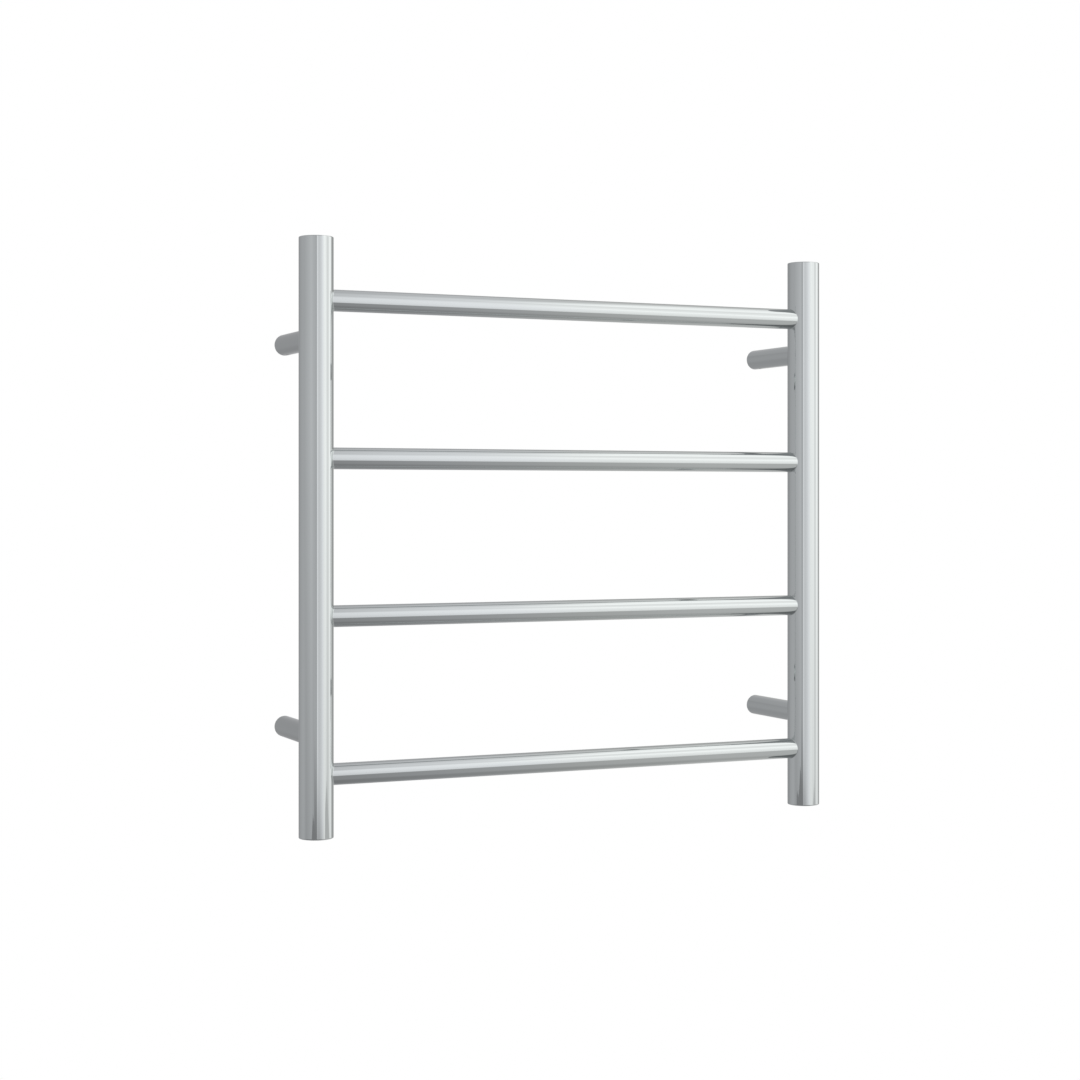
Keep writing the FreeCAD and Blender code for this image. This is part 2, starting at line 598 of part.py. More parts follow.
# --- Earth connection -----------------------------------------------------------------------
def make_earth_terminal():
    """A crimp terminal: a flat ring on the cap's boss, a neck, and a barrel for the wire."""
    body = new_body("earth_terminal")
    plate = new_sketch(body, "Ring", "XY_Plane")
    add_circle(plate, "outside", "Sizes.lug_od")
    pad(body, plate, "Sizes.lug_thickness")
    neck = new_sketch(body, "Neck", "XY_Plane")
    side = "Sizes.lug_neck / 2"
    far = "Sizes.lug_reach + Sizes.lug_barrel_wall"
    add_outline(neck, "edge", [(f"-{side}", "0"), (side, "0"), (side, far), (f"-{side}", far)])
    pad(body, neck, "Sizes.lug_thickness")
    hole = new_sketch(body, "Hole", "XY_Plane")
    add_circle(hole, "hole", "Sizes.earth_thread + 2 * Sizes.thread_fit")
    pocket(body, hole, "4 * Sizes.lug_thickness", "Symmetric")
    barrel = new_sketch(body, "Barrel", "XZ_Plane", "-Sizes.lug_reach")
    add_circle(barrel, "outside", "Sizes.lug_barrel_od", "0", "Sizes.lug_barrel_od / 2")
    pad(body, barrel, "Sizes.lug_barrel_length", backwards=True)
    wire = new_sketch(body, "WireBore", "XZ_Plane", "-Sizes.lug_reach - Sizes.lug_barrel_wall")
    wire_bore = "Sizes.lug_barrel_od - 2 * Sizes.lug_barrel_wall"
    add_circle(wire, "bore", wire_bore, "0", "Sizes.lug_barrel_od / 2")
    pocket(body, wire, "Sizes.lug_barrel_length")
    return place(body, POST_X, "-Sizes.post_standoff", EARTH_SEAT)


def make_earth_washer():
    """A shakeproof washer: a ring with notches cut between its outer teeth."""
    body = new_body("earth_washer")
    disc = ring(
        body, "Ring", "XY_Plane", "Sizes.washer_od",
        "Sizes.earth_thread + 2 * Sizes.thread_fit", "Sizes.washer_thickness",
    )
    notch = new_sketch(body, "Notch", "XY_Plane")
    side = "Sizes.washer_gap / 2"
    root = "Sizes.washer_od / 2 - Sizes.washer_tooth"
    tip = "Sizes.washer_od"
    add_outline(notch, "edge", [(f"-{side}", root), (side, root), (side, tip), (f"-{side}", tip)])
    first = pocket(body, notch, "4 * Sizes.washer_thickness", "Symmetric")
    doc.recompute()
    notches = body.newObject("PartDesign::PolarPattern", "Notches")
    notches.Originals = [first]
    notches.Axis = (next(item for item in body.Origin.OriginFeatures if item.Role == "Z_Axis"), [""])
    notches.Angle = 360
    notches.Occurrences = WASHER_TEETH
    body.Tip = notches
    return place(body, POST_X, "-Sizes.post_standoff", f"{EARTH_SEAT} + Sizes.lug_thickness")


def make_earth_screw():
    """The earth screw: a slotted pan head, its shank down through washer, ring and boss."""
    body = new_body("earth_screw")
    head = new_sketch(body, "Head", "XY_Plane")
    add_circle(head, "outside", "Sizes.earth_head")
    pan = pad(body, head, "Sizes.earth_head_height")
    doc.recompute()
    height = sheet.get("earth_head_height")
    rim = [name for name, circle in round_edges(pan) if abs(circle.Center.z - height) < 1e-6]
    chamfer(body, pan, rim, "Sizes.earth_head_edge")
    shank = new_sketch(body, "Shank", "XY_Plane")
    add_circle(shank, "outside", "Sizes.earth_thread")
    pad(
        body, shank, "Sizes.earth_reach + Sizes.lug_thickness + Sizes.washer_thickness",
        backwards=True,
    )
    slot = new_sketch(body, "Slot", "XZ_Plane")
    side = "Sizes.earth_slot / 2"
    floor = "Sizes.earth_head_height - Sizes.earth_slot_depth"
    top = "2 * Sizes.earth_head_height"
    add_outline(slot, "edge", [(f"-{side}", floor), (side, floor), (side, top), (f"-{side}", top)])
    pocket(body, slot, "2 * Sizes.earth_head", "Symmetric")
    seat = f"{EARTH_SEAT} + Sizes.lug_thickness + Sizes.washer_thickness"
    return place(body, POST_X, "-Sizes.post_standoff", seat)


# --- Assembly -------------------------------------------------------------------------------
for side, sign in SIDES:
    make_post(side, sign)
for number, label in enumerate(RAILS):
    make_rail(label, number)
for side, sign in SIDES:
    for level, height in LEVELS:
        make_cap(side, sign, level, height)
        make_standoff(side, sign, level, height)
        make_wall_boss(side, sign, level, height)

grub_screws = doc.addObject("Part::Compound", "GrubScrews")
grub_screws.Label = "standoff_grub_screws"
grub_screws.Links = [make_grub_screw(sign, height) for side, sign in SIDES for level, height in LEVELS]
parts.append(grub_screws)

make_grommet()
make_cable()
make_return_tail()
make_splice("live_splice", TAIL_X)
make_splice("neutral_splice", RETURN_X)
make_cutout()
make_cutout_sleeve()
make_earth_terminal()
make_earth_washer()
make_earth_screw()
doc.recompute()

faults = [item.Label for item in doc.Objects if {"Invalid", "Error"} & set(item.State)]
for part in parts:
    if part.Shape.isNull() or not part.Shape.isValid() or not part.Shape.Solids:
        faults.append(part.Label)
if faults:
    raise SystemExit("these did not build: " + ", ".join(faults))

os.makedirs("parts", exist_ok=True)
for part in parts:
    part.Shape.exportStep(f"parts/{part.Label}.step")
    box = part.Shape.BoundBox
    low = f"{box.XMin:.2f}, {box.YMin:.2f}, {box.ZMin:.2f}"
    high = f"{box.XMax:.2f}, {box.YMax:.2f}, {box.ZMax:.2f}"
    print(f"{part.Label}: {len(part.Shape.Solids)} solid, {part.Shape.Volume:.1f} mm3, {low} to {high}")
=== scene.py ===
# %% [markdown]
# # A wall-hung towel warmer in polished stainless steel
# This file dresses a finished CAD model of a four-bar towel warmer. The CAD model is the
# frame: it gives every piece its place and size, in metres, with +X to the right, +Y into
# the wall and +Z up. We draw the tubes again as fine smooth surfaces, because a mirror
# finish shows every facet, and we give each of the other pieces the finish it really has.

# %% Load the frame
import math

import bpy
import numpy as np
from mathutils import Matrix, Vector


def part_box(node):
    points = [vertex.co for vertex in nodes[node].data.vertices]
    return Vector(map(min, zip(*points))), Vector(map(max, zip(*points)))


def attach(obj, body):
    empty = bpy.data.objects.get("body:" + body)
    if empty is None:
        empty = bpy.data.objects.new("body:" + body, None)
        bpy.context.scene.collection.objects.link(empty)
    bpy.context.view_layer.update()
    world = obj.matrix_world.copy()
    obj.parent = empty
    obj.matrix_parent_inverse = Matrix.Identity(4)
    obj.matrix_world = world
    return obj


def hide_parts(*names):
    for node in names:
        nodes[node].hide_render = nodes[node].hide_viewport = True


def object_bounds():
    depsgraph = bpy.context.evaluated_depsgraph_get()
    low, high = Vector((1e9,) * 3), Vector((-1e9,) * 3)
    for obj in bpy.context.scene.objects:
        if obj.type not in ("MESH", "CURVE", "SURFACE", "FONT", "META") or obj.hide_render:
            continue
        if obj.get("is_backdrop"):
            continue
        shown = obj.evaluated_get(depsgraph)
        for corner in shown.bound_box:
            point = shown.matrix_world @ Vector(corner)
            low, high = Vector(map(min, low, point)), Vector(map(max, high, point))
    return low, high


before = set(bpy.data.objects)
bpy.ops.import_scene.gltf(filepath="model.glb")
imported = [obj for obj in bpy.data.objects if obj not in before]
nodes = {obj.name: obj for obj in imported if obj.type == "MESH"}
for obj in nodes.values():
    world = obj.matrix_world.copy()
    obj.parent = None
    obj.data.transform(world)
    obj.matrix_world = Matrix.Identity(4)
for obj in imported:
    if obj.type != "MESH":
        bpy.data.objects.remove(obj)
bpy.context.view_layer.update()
scene = bpy.context.scene
print("pieces in the frame:", len(nodes))

# %% [markdown]
# ## Units and colours
# Drawings of tube work are in millimetres, so we write sizes that way and turn them into
# metres with one factor. Colours are written as the hex values of paint charts and screens,
# which are sRGB. A shader wants linear light, so one function does the conversion.

# %% Millimetres and hex colours
MM = 0.001


def linear(hex_colour):
    """An sRGB hex colour as linear red, green, blue and alpha.

    Each channel c becomes c / 12.92 where it is dark, and ((c + 0.055) / 1.055) ** 2.4
    everywhere else.
    """
    channels = np.array([int(hex_colour[i:i + 2], 16) for i in (1, 3, 5)]) / 255
    lit = np.where(channels <= 0.04045, channels / 12.92, ((channels + 0.055) / 1.055) ** 2.4)
    return (*lit.tolist(), 1.0)


print("mid grey in linear light:", [round(c, 3) for c in linear("#808080")[:3]])

# %% [markdown]
# ## The camera
# The rack is seen from the front left, a little over two metres away, with a long lens, and
# the camera is level. A level camera keeps the posts upright. A small vertical shift of the
# lens, as on a view camera, frames the rack without tilting.

# %% Camera
CAMERA_PLACE = (-0.847, -1.91175, 0.0348)
CAMERA_TURN = 24.13
LENS = 69.04
LENS_SHIFT = -0.0376
SENSOR_WIDTH = 36

camera = bpy.data.objects.new("camera", bpy.data.cameras.new("camera"))
camera.location = CAMERA_PLACE
camera.rotation_euler = (math.radians(90), 0, math.radians(-CAMERA_TURN))
camera.data.lens = LENS
camera.data.sensor_width = SENSOR_WIDTH
camera.data.shift_y = LENS_SHIFT
scene.collection.objects.link(camera)
scene.camera = camera
scene.view_settings.view_transform = "Standard"
print("camera:", CAMERA_PLACE, "lens", LENS, "mm")

# %% [markdown]
# ## Surfaces from grids
# Every tube here is a skin: a grid of points with rows and columns, where both directions
# close on themselves. Each row follows the closed outline of the tube's wall, and the rows
# go all the way round the tube's axis. To the mesh that is a ring doughnut, with no poles, no
# seams and a real wall thickness.

# %% Grid to mesh
def skin(name, points):
    """A closed mesh from a grid of points, rows x columns x 3, wrapped both ways.

    Each cell joins point (i, j) to (i, j+1), (i+1, j+1) and (i+1, j). The enclosed volume
    is a sixth of the sum of the triple products of the corners of its triangles. Where it
    comes out negative the cells are turned over, so that every face points outwards.
    """
    rows, columns = points.shape[:2]
    index = np.arange(rows * columns).reshape(rows, columns)
    below = np.roll(index, -1, axis=0)
    cells = np.stack([index, np.roll(index, -1, axis=1), np.roll(below, -1, axis=1), below], axis=-1)
    cells = cells.reshape(-1, 4)
    flat = points.reshape(-1, 3)
    corners = flat[cells]
    fans = np.concatenate([corners[:, (0, 1, 2)], corners[:, (0, 2, 3)]])
    volume = np.einsum("ij,ij->i", fans[:, 0], np.cross(fans[:, 1], fans[:, 2])).sum() / 6
    if volume < 0:
        cells = cells[:, ::-1]
    mesh = bpy.data.meshes.new(name)
    mesh.from_pydata(flat.tolist(), [], cells.tolist())
    piece = bpy.data.objects.new(name, mesh)
    scene.collection.objects.link(piece)
    print(f"{name}: {len(cells)} cells, {abs(volume) * 1e6:.2f} cm3")
    return piece


def polish(piece, crease=35):
    """Smooth shading, with a crisp edge wherever two faces meet at more than `crease` degrees."""
    piece.data.shade_smooth()
    piece.data.set_sharp_from_angle(angle=math.radians(crease))


# %% [markdown]
# ## The posts
# A post is a 32 mm tube. Its cut ends are rounded over with an abrasive belt before it is
# polished, and that soft rim catches a thin line of light at the top and bottom. We draw the
# outline of the tube's wall, as a closed loop of radius and height, and turn it round the
# post's axis. Extra rings close beside each rounded edge keep its shading from
# creeping along the straight tube.

# %% Post outline
POST_WALL = 1.5 * MM
POST_ROUND = 0.9 * MM
RING_STEP = 10 * MM
HOLD = 0.3 * MM
RIM_STEPS = 9
RIM_FLAT = 0.1 * MM
POST_BORE_RINGS = 24
AROUND_POST = 224

post_low, post_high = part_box("left_post")
post_radius = (post_high.x - post_low.x) / 2
post_y = (post_high.y + post_low.y) / 2
post_x = (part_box("right_post")[0].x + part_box("right_post")[1].x) / 2
post_half = (post_high.z - post_low.z) / 2
print(f"post: radius {post_radius / MM:.2f} mm, length {2 * post_half / MM:.1f} mm")


def post_outline():
    """Radius and height along the closed outline of a post's wall.

    Up the outside, round a quarter circle at the top rim, in over the flat end, down the
    bore, and the same again the other way at the bottom.
    """
    straight = post_half - POST_ROUND
    bore = post_radius - POST_WALL
    held = straight - 2 * HOLD
    rings = int(2 * straight / RING_STEP)
    up = np.concatenate([[-straight + HOLD], np.linspace(-held, held, rings), [straight - HOLD]])
    bend = np.linspace(0, math.pi / 2, RIM_STEPS)
    rim_r = post_radius - POST_ROUND + POST_ROUND * np.cos(bend)
    rim_z = straight + POST_ROUND * np.sin(bend)
    flat = np.array([post_radius - POST_ROUND - RIM_FLAT, bore])
    inner_half = post_half - 2 * HOLD
    inner = np.linspace(inner_half, -inner_half, POST_BORE_RINGS)
    radius = np.concatenate([np.full(len(up), post_radius), rim_r, flat, np.full(len(inner), bore),
                             flat[::-1], rim_r[::-1]])
    height = np.concatenate([up, rim_z, np.full(len(flat), post_half), inner,
                             np.full(len(flat), -post_half), -rim_z[::-1]])
    return radius, height


# %% [markdown]
# Each bar opens into the post through a port as wide as the bar's bore, and the supply lead
# comes in through one more at the back of the right post. These are drilled with a Boolean:
# a short rod stands where the drill went, and its volume is taken away from the tube.

# %% Drilling
PORT_RADIUS = 8.8 * MM
LEAD_PORT_RADIUS = 6 * MM
AXES = {"x": (1, 2, 0), "y": (2, 0, 1), "z": (0, 1, 2)}


def rod(centre, axis, radius, length, sides=64):
    """A capped rod as vertices and faces: two rings of `sides` points and two flat ends."""
    a, b, along = AXES[axis]
    angle = np.linspace(0, 2 * math.pi, sides, endpoint=False)
    points = np.zeros((2, sides, 3))
    points[..., a] = radius * np.cos(angle)
    points[..., b] = radius * np.sin(angle)
    points[..., along] = np.array([[-length / 2], [length / 2]])
    points = (points + np.array(centre)).reshape(-1, 3)
    i = np.arange(sides)
    j = (i + 1) % sides
    walls = np.stack([i, j, j + sides, i + sides], axis=1).tolist()
    return points, walls + [i[::-1].tolist(), (i + sides).tolist()]


def drill(piece, rods):
    """Take the rods out of a piece and keep the result as its plain mesh."""
    points, faces, start = [], [], 0
    for rod_points, rod_faces in rods:
        points.append(rod_points)
        faces += [[start + k for k in face] for face in rod_faces]
        start += len(rod_points)
    mesh = bpy.data.meshes.new("drill")
    mesh.from_pydata(np.concatenate(points).tolist(), [], faces)
    cutter = bpy.data.objects.new("drill", mesh)
    scene.collection.objects.link(cutter)
    cut = piece.modifiers.new("drill", "BOOLEAN")
    cut.operation = "DIFFERENCE"
    cut.solver = "EXACT"
    cut.object = cutter
    ready = piece.evaluated_get(bpy.context.evaluated_depsgraph_get())
    drilled = bpy.data.meshes.new_from_object(ready)
    piece.modifiers.clear()
    piece.data = drilled
    bpy.data.objects.remove(cutter)
    bpy.data.meshes.remove(mesh)
    print(f"{piece.name}: {len(rods)} holes, {len(drilled.polygons)} faces")


# %% Posts
BARS = ("bottom_rail", "lower_middle_rail", "upper_middle_rail", "top_rail")
bar_heights = [(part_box(name)[0].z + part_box(name)[1].z) / 2 for name in BARS]
bar_radius = (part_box(BARS[0])[1].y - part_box(BARS[0])[0].y) / 2
lead_low, lead_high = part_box("lower_right_standoff")
lead_height = (lead_low.z + lead_high.z) / 2
print("bar heights, mm:", [round(z / MM, 1) for z in bar_heights])

angle = np.linspace(0, 2 * math.pi, AROUND_POST, endpoint=False)
radius, height = post_outline()
posts = []
for side, sign in (("left", -1), ("right", 1)):
    centre_x = sign * post_x
    ring = np.empty((AROUND_POST, len(radius), 3))
    ring[..., 0] = centre_x + np.outer(np.cos(angle), radius)
    ring[..., 1] = post_y + np.outer(np.sin(angle), radius)
    ring[..., 2] = height
    post = skin(f"{side}_post_tube", ring)
    inward = centre_x - sign * post_radius
    rods = [rod((inward, post_y, z), "x", PORT_RADIUS, post_radius) for z in bar_heights]
    if side == "right":
        back = post_y + post_radius
        rods.append(rod((centre_x, back, lead_height), "y", LEAD_PORT_RADIUS, post_radius))
    drill(post, rods)
    polish(post)
    posts.append(post)

# %% [markdown]
# ## The bars
# Each bar is a 20 mm tube with its two ends notched to the curve of the post, like a log
# that sits on another log, then welded and ground smooth. What the eye sees is a tiny
# concave sweep where bar runs into post. It has the shape a small ball leaves when it rolls
# round the joint and touches both tubes: its centre is always one ball radius away from each.

# %% Saddle joints
WELD_ROUND = 0.6 * MM
WELD_STEPS = 8


def saddle(turn, reach, away):
    """Distance along a tube's axis, from the post's axis, where the tube meets the post.

    For a point of the tube at angle `turn` round it and `reach` out from its axis, and a
    post surface `away` from the post's axis: the square root of away^2 - (reach cos turn)^2.
    """
    return np.sqrt(away**2 - (reach * np.cos(turn)) ** 2)


def weld(turn, tube_radius):
    """The rolled-ball sweep between a tube and a post, from the tube out to the post.

    The ball's centre is tube radius + ball from the tube's axis and post radius + ball from
    the post's. It touches the tube straight inwards and the post on the line to the post's
    axis. Between the two it follows a great circle of the ball. The result is
    (along, sideways, up) for each angle and step, with `along` measured from the post's axis.
    """
    out = tube_radius + WELD_ROUND
    away = saddle(turn, out, post_radius + WELD_ROUND)
    centre = np.stack([away, out * np.cos(turn), out * np.sin(turn)], -1)
    on_tube = np.stack([centre[:, 0], tube_radius * np.cos(turn), tube_radius * np.sin(turn)], -1)
    shrink = post_radius / (post_radius + WELD_ROUND)
    on_post = centre * np.array([shrink, shrink, 1.0])
    first = (on_tube - centre) / WELD_ROUND
    last = (on_post - centre) / WELD_ROUND
    between = np.arccos(np.clip((first * last).sum(-1), -1, 1))[:, None, None]
    step = np.linspace(0, 1, WELD_STEPS + 1)[None, :, None]
    arc = np.sin((1 - step) * between) * first[:, None] + np.sin(step * between) * last[:, None]
    return centre[:, None] + WELD_ROUND * arc / np.sin(between)


# %% Bars
BAR_WALL = 1.2 * MM
AROUND_BAR = 160
STRAIGHT_HALF = 240 * MM
STRAIGHT_RINGS = 49
BAR_BORE_RINGS = 13

turn = np.linspace(0, 2 * math.pi, AROUND_BAR, endpoint=False)
bore = bar_radius - BAR_WALL
end = weld(turn, bar_radius)
end_bore = np.stack([saddle(turn, bore, post_radius), bore * np.cos(turn), bore * np.sin(turn)], -1)


def bar_skin(name, height):
    """A bar: sweep, straight tube and sweep on the outside, and back along the bore.

    The left half is the right half mirrored. The straight tube is its first ring slid along
    the axis: to just inside each sweep, and between them to places that are square to the
    axis. The bore slides from its right end to its left in the same way.
    """
    right = end.copy()
    right[..., 0] = post_x - end[..., 0]
    left = right * np.array([-1.0, 1.0, 1.0])
    square = np.tile(np.linspace(-STRAIGHT_HALF, STRAIGHT_HALF, STRAIGHT_RINGS), (AROUND_BAR, 1))
    across = np.concatenate([left[:, :1, 0] + HOLD, square, right[:, :1, 0] - HOLD], 1)
    straight = np.repeat(left[:, :1], across.shape[1], axis=1)
    straight[..., 0] = across
    inner_right = end_bore.copy()
    inner_right[:, 0] = post_x - end_bore[:, 0]
    inside = np.repeat(inner_right[:, None], BAR_BORE_RINGS, axis=1)
    inside[..., 0] *= np.linspace(1, -1, BAR_BORE_RINGS)
    loop = np.concatenate([left[:, ::-1], straight, right, inside], 1)
    loop += np.array([0.0, post_y, height])
    return skin(name, loop)


bars = []
for name, height in zip(BARS, bar_heights):
    bar = bar_skin(f"{name}_tube", height)
    polish(bar)
    bars.append(bar)

# %% [markdown]
# ## The standoffs
# Four short tubes carry the ladder off the wall. In front they are notched and welded to the
# posts like the bars. At the wall they are cut square with a broken edge, and a small hole
# underneath takes the grub screw that clamps them on their bosses.

# %% Standoffs
STANDOFF_WALL = 1.5 * MM
STANDOFF_EDGE = 0.5 * MM
EDGE_STEPS = 7
STANDOFF_START = 20 * MM
STANDOFF_RINGS = 18
STANDOFF_BORE_RINGS = 10
GRUB_HOLE = 2.05 * MM
GRUB_INSET = 13 * MM


def standoff_skin(name, centre_x, height, radius):
    """A standoff: sweep at the post, straight tube, rounded edge, wall end and bore.

    Each point is worked out as its distance from the post's axis, towards the wall, and its
    place on a circle round the tube's own axis: radius times cosine and sine of its angle.
    """
    sweep = weld(turn, radius)[:, ::-1]
    length = -post_y
    straight = length - STANDOFF_EDGE
    rings = np.tile(np.linspace(STANDOFF_START, straight - HOLD, STANDOFF_RINGS), (len(turn), 1))
    bend = np.linspace(0, math.pi / 2, EDGE_STEPS)
    edge_along = np.tile(straight + STANDOFF_EDGE * np.sin(bend), (len(turn), 1))
    edge_radius = radius - STANDOFF_EDGE + STANDOFF_EDGE * np.cos(bend)
    inner = radius - STANDOFF_WALL
    mouth = saddle(turn, inner, post_radius)[:, None]
    bore_along = length + (mouth - length) * np.linspace(0, 1, STANDOFF_BORE_RINGS)
    along = np.concatenate([sweep[..., 0], sweep[:, -1:, 0] + HOLD, rings, edge_along, bore_along], 1)
    out = np.concatenate([np.full(1 + STANDOFF_RINGS, radius), edge_radius,
                          np.full(STANDOFF_BORE_RINGS, inner)])
    sideways = np.concatenate([sweep[..., 1], np.outer(np.cos(turn), out)], 1)
    up = np.concatenate([sweep[..., 2], np.outer(np.sin(turn), out)], 1)
    loop = np.stack([centre_x + sideways, post_y + along, height + up], -1)
    return skin(name, loop)


standoffs = []
for level in ("lower", "upper"):
    for side in ("left", "right"):
        low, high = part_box(f"{level}_{side}_standoff")
        centre_x, height = (low.x + high.x) / 2, (low.z + high.z) / 2
        radius = (high.x - low.x) / 2
        tube = standoff_skin(f"{level}_{side}_standoff_tube", centre_x, height, radius)
        drill(tube, [rod((centre_x, -GRUB_INSET, height - radius), "z", GRUB_HOLE, radius)])
        polish(tube)
        standoffs.append((f"{level}_{side}_standoff", tube))

# %% [markdown]
# ## Materials
# A node graph is easier to read as sentences, so one function adds a node, sets its sockets
# and draws its links. Textures read Object coordinates, which are metres in the frame, so a
# scale of 1000 means one feature for each millimetre.

# %% One function for nodes
def live(sockets, name=None):
    """The first socket in use, or the first in use with this name."""
    return next(s for s in sockets if s.enabled and name in (None, s.name))


def add(tree, kind, inputs=None, **settings):
    """Add a shader node and return it.

    The settings come first, because they decide which sockets are in use. `inputs` then
    maps a socket's name, or its number, to a value, to a socket, or to a whole node, whose
    first output is meant.
    """
    node = tree.nodes.new("ShaderNode" + kind)
    for name, value in settings.items():
        setattr(node, name, value)
    for key, value in (inputs or {}).items():
        socket = node.inputs[key] if isinstance(key, int) else live(node.inputs, key)
        if isinstance(value, bpy.types.Node):
            value = live(value.outputs)
        if isinstance(value, bpy.types.NodeSocket):
            tree.links.new(value, socket)
        else:
            socket.default_value = value
    return node


def blank_material(name):
    """A new material with an empty node tree, and the Object coordinates of that tree."""
    material = bpy.data.materials.new(name)
    material.use_nodes = True
    tree = material.node_tree
    tree.nodes.clear()
    return material, tree, add(tree, "TexCoord").outputs["Object"]


# %% [markdown]
# ## Mirror-polished stainless steel
# The tubes are 304 stainless, drawn, belt-ground round and round, and buffed until they
# mirror the room. Chrome-nickel steel is a little darker than chrome plate, and very
# slightly cool. Buffing leaves hairlines round the tube, a fraction of a millimetre apart.
# They are too fine to show from two metres, so they are drawn about 0.6 mm apart and very
# faint: the eye reads them as a soft edge on each reflection, not as lines. A slow swell of a
# few centimetres, left by the drawing die, keeps long reflections from being ruler-straight.

# %% Polished steel
STEEL_DARK, STEEL_LIGHT = linear("#C6CACA"), linear("#CCD0D0")
HAIRLINE = 0.6 * MM
HAIRLINE_STRETCH = 0.03
HAIRLINE_DEPTH = 0.05 * MM
SWELL = 60 * MM
SWELL_STRETCH = 0.35
SWELL_DEPTH = 4 * MM


def polished_steel(name, axis):
    """Buffed stainless whose hairlines run round a tube that lies along `axis`."""
    material, tree, place = blank_material(name)
    fine = [HAIRLINE_STRETCH / HAIRLINE] * 3
    fine["xyz".index(axis)] = 1 / HAIRLINE
    slow = [1 / SWELL] * 3
    slow["xyz".index(axis)] = SWELL_STRETCH / SWELL
    fine_place = add(tree, "Mapping", {"Vector": place, "Scale": fine})
    slow_place = add(tree, "Mapping", {"Vector": place, "Scale": slow})
    lines = add(tree, "TexNoise", {"Vector": fine_place, "Scale": 1.0, "Detail": 3.0, "Roughness": 0.6})
    swell = add(tree, "TexNoise", {"Vector": slow_place, "Scale": 1.0, "Detail": 1.0})
    tint = add(tree, "Mix", {"Factor": swell, "A": STEEL_DARK, "B": STEEL_LIGHT}, data_type="RGBA")
    rough = add(tree, "MapRange", {"Value": lines, "To Min": 0.015, "To Max": 0.05})
    wave = add(tree, "Bump", {"Height": swell, "Strength": 0.02, "Distance": SWELL_DEPTH})
    hair = add(tree, "Bump", {"Height": lines, "Strength": 0.02, "Distance": HAIRLINE_DEPTH, "Normal": wave})
    shader = add(tree, "BsdfPrincipled", {"Base Color": tint, "Metallic": 1.0, "Roughness": rough,
                                          "Normal": hair})
    add(tree, "OutputMaterial", {"Surface": shader})
    return material


post_steel = polished_steel("mirror_polished_stainless_posts", "z")
bar_steel = polished_steel("mirror_polished_stainless_bars", "x")
standoff_steel = polished_steel("mirror_polished_stainless_standoffs", "y")
print("steel reflects", round(STEEL_LIGHT[1], 3), "of the green light that falls on it")

# %% Dress the tubes
tubes = [("left_post", posts[0], post_steel), ("right_post", posts[1], post_steel)]
tubes += [(name, bar, bar_steel) for name, bar in zip(BARS, bars)]
tubes += [(name, tube, standoff_steel) for name, tube in standoffs]
for name, piece, material in tubes:
    piece.data.materials.clear()
    piece.data.materials.append(material)
    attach(piece, "root")
    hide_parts(name)


def dress(material, *names):
    """Put a material on CAD nodes, in the slots they already have."""
    for name in names:
        for slot in nodes[name].material_slots:
            slot.material = material
    print(f"{material.name}: {', '.join(names)}")


# %% [markdown]
# ## Belt-ground end caps
# Each post is closed by a pressed disc, welded in and ground level with the end of the tube
# on a fine belt. The belt leaves straight parallel scratches, so the disc is a satin mirror
# that smears reflections across them. The scratches of a 240 grit belt are 0.06 mm apart;
# they are drawn at 0.35 mm so that they show.

# %% Ground steel
SCRATCH = 0.35 * MM
SCRATCH_STRETCH = 0.02
SCRATCH_DEPTH = 0.02 * MM
BELT_ANGLE = 20
PATCH = 9 * MM

material, tree, place = blank_material("belt_ground_stainless_caps")
lengthwise = SCRATCH_STRETCH / SCRATCH
stretched = add(tree, "Mapping", {"Vector": place, "Rotation": (0, 0, math.radians(BELT_ANGLE)),
                                  "Scale": (lengthwise, 1 / SCRATCH, lengthwise)})
scratches = add(tree, "TexNoise", {"Vector": stretched, "Scale": 1.0, "Detail": 4.0, "Roughness": 0.7})
patches = add(tree, "TexNoise", {"Vector": place, "Scale": 1 / PATCH, "Detail": 2.0})
tint = add(tree, "Mix", {"Factor": scratches, "A": linear("#A9ADAE"), "B": linear("#C6CACA")},
           data_type="RGBA")
rough = add(tree, "MapRange", {"Value": patches, "To Min": 0.16, "To Max": 0.27})
grain = add(tree, "Bump", {"Height": scratches, "Strength": 0.25, "Distance": SCRATCH_DEPTH})
shader = add(tree, "BsdfPrincipled", {"Base Color": tint, "Metallic": 1.0, "Roughness": rough,
                                      "Normal": grain})
add(tree, "OutputMaterial", {"Surface": shader})
dress(material, *[f"{level}_{side}_post_cap" for level in ("lower", "upper") for side in ("left", "right")])

# %% [markdown]
# ## Turned aluminium
# The wall bosses are turned from aluminium bar. The tool leaves a fine spiral: rings on the
# faces and hoops on the sides. Both come from one noise that is read by the distance from
# the lathe's axis and by the position along it. The four bosses mirror each other about the
# middle of the rack, so the absolute values of X and Z bring all four axes together. A real
# feed is 0.1 mm a turn; it is drawn at 0.6 mm so that it shows.

# %% Turned aluminium
FEED = 0.6 * MM
GROOVE_DEPTH = 0.06 * MM
CLOUD = 5 * MM
boss_low, boss_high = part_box("upper_right_wall_boss")
boss_x = (boss_low.x + boss_high.x) / 2
boss_z = (boss_low.z + boss_high.z) / 2

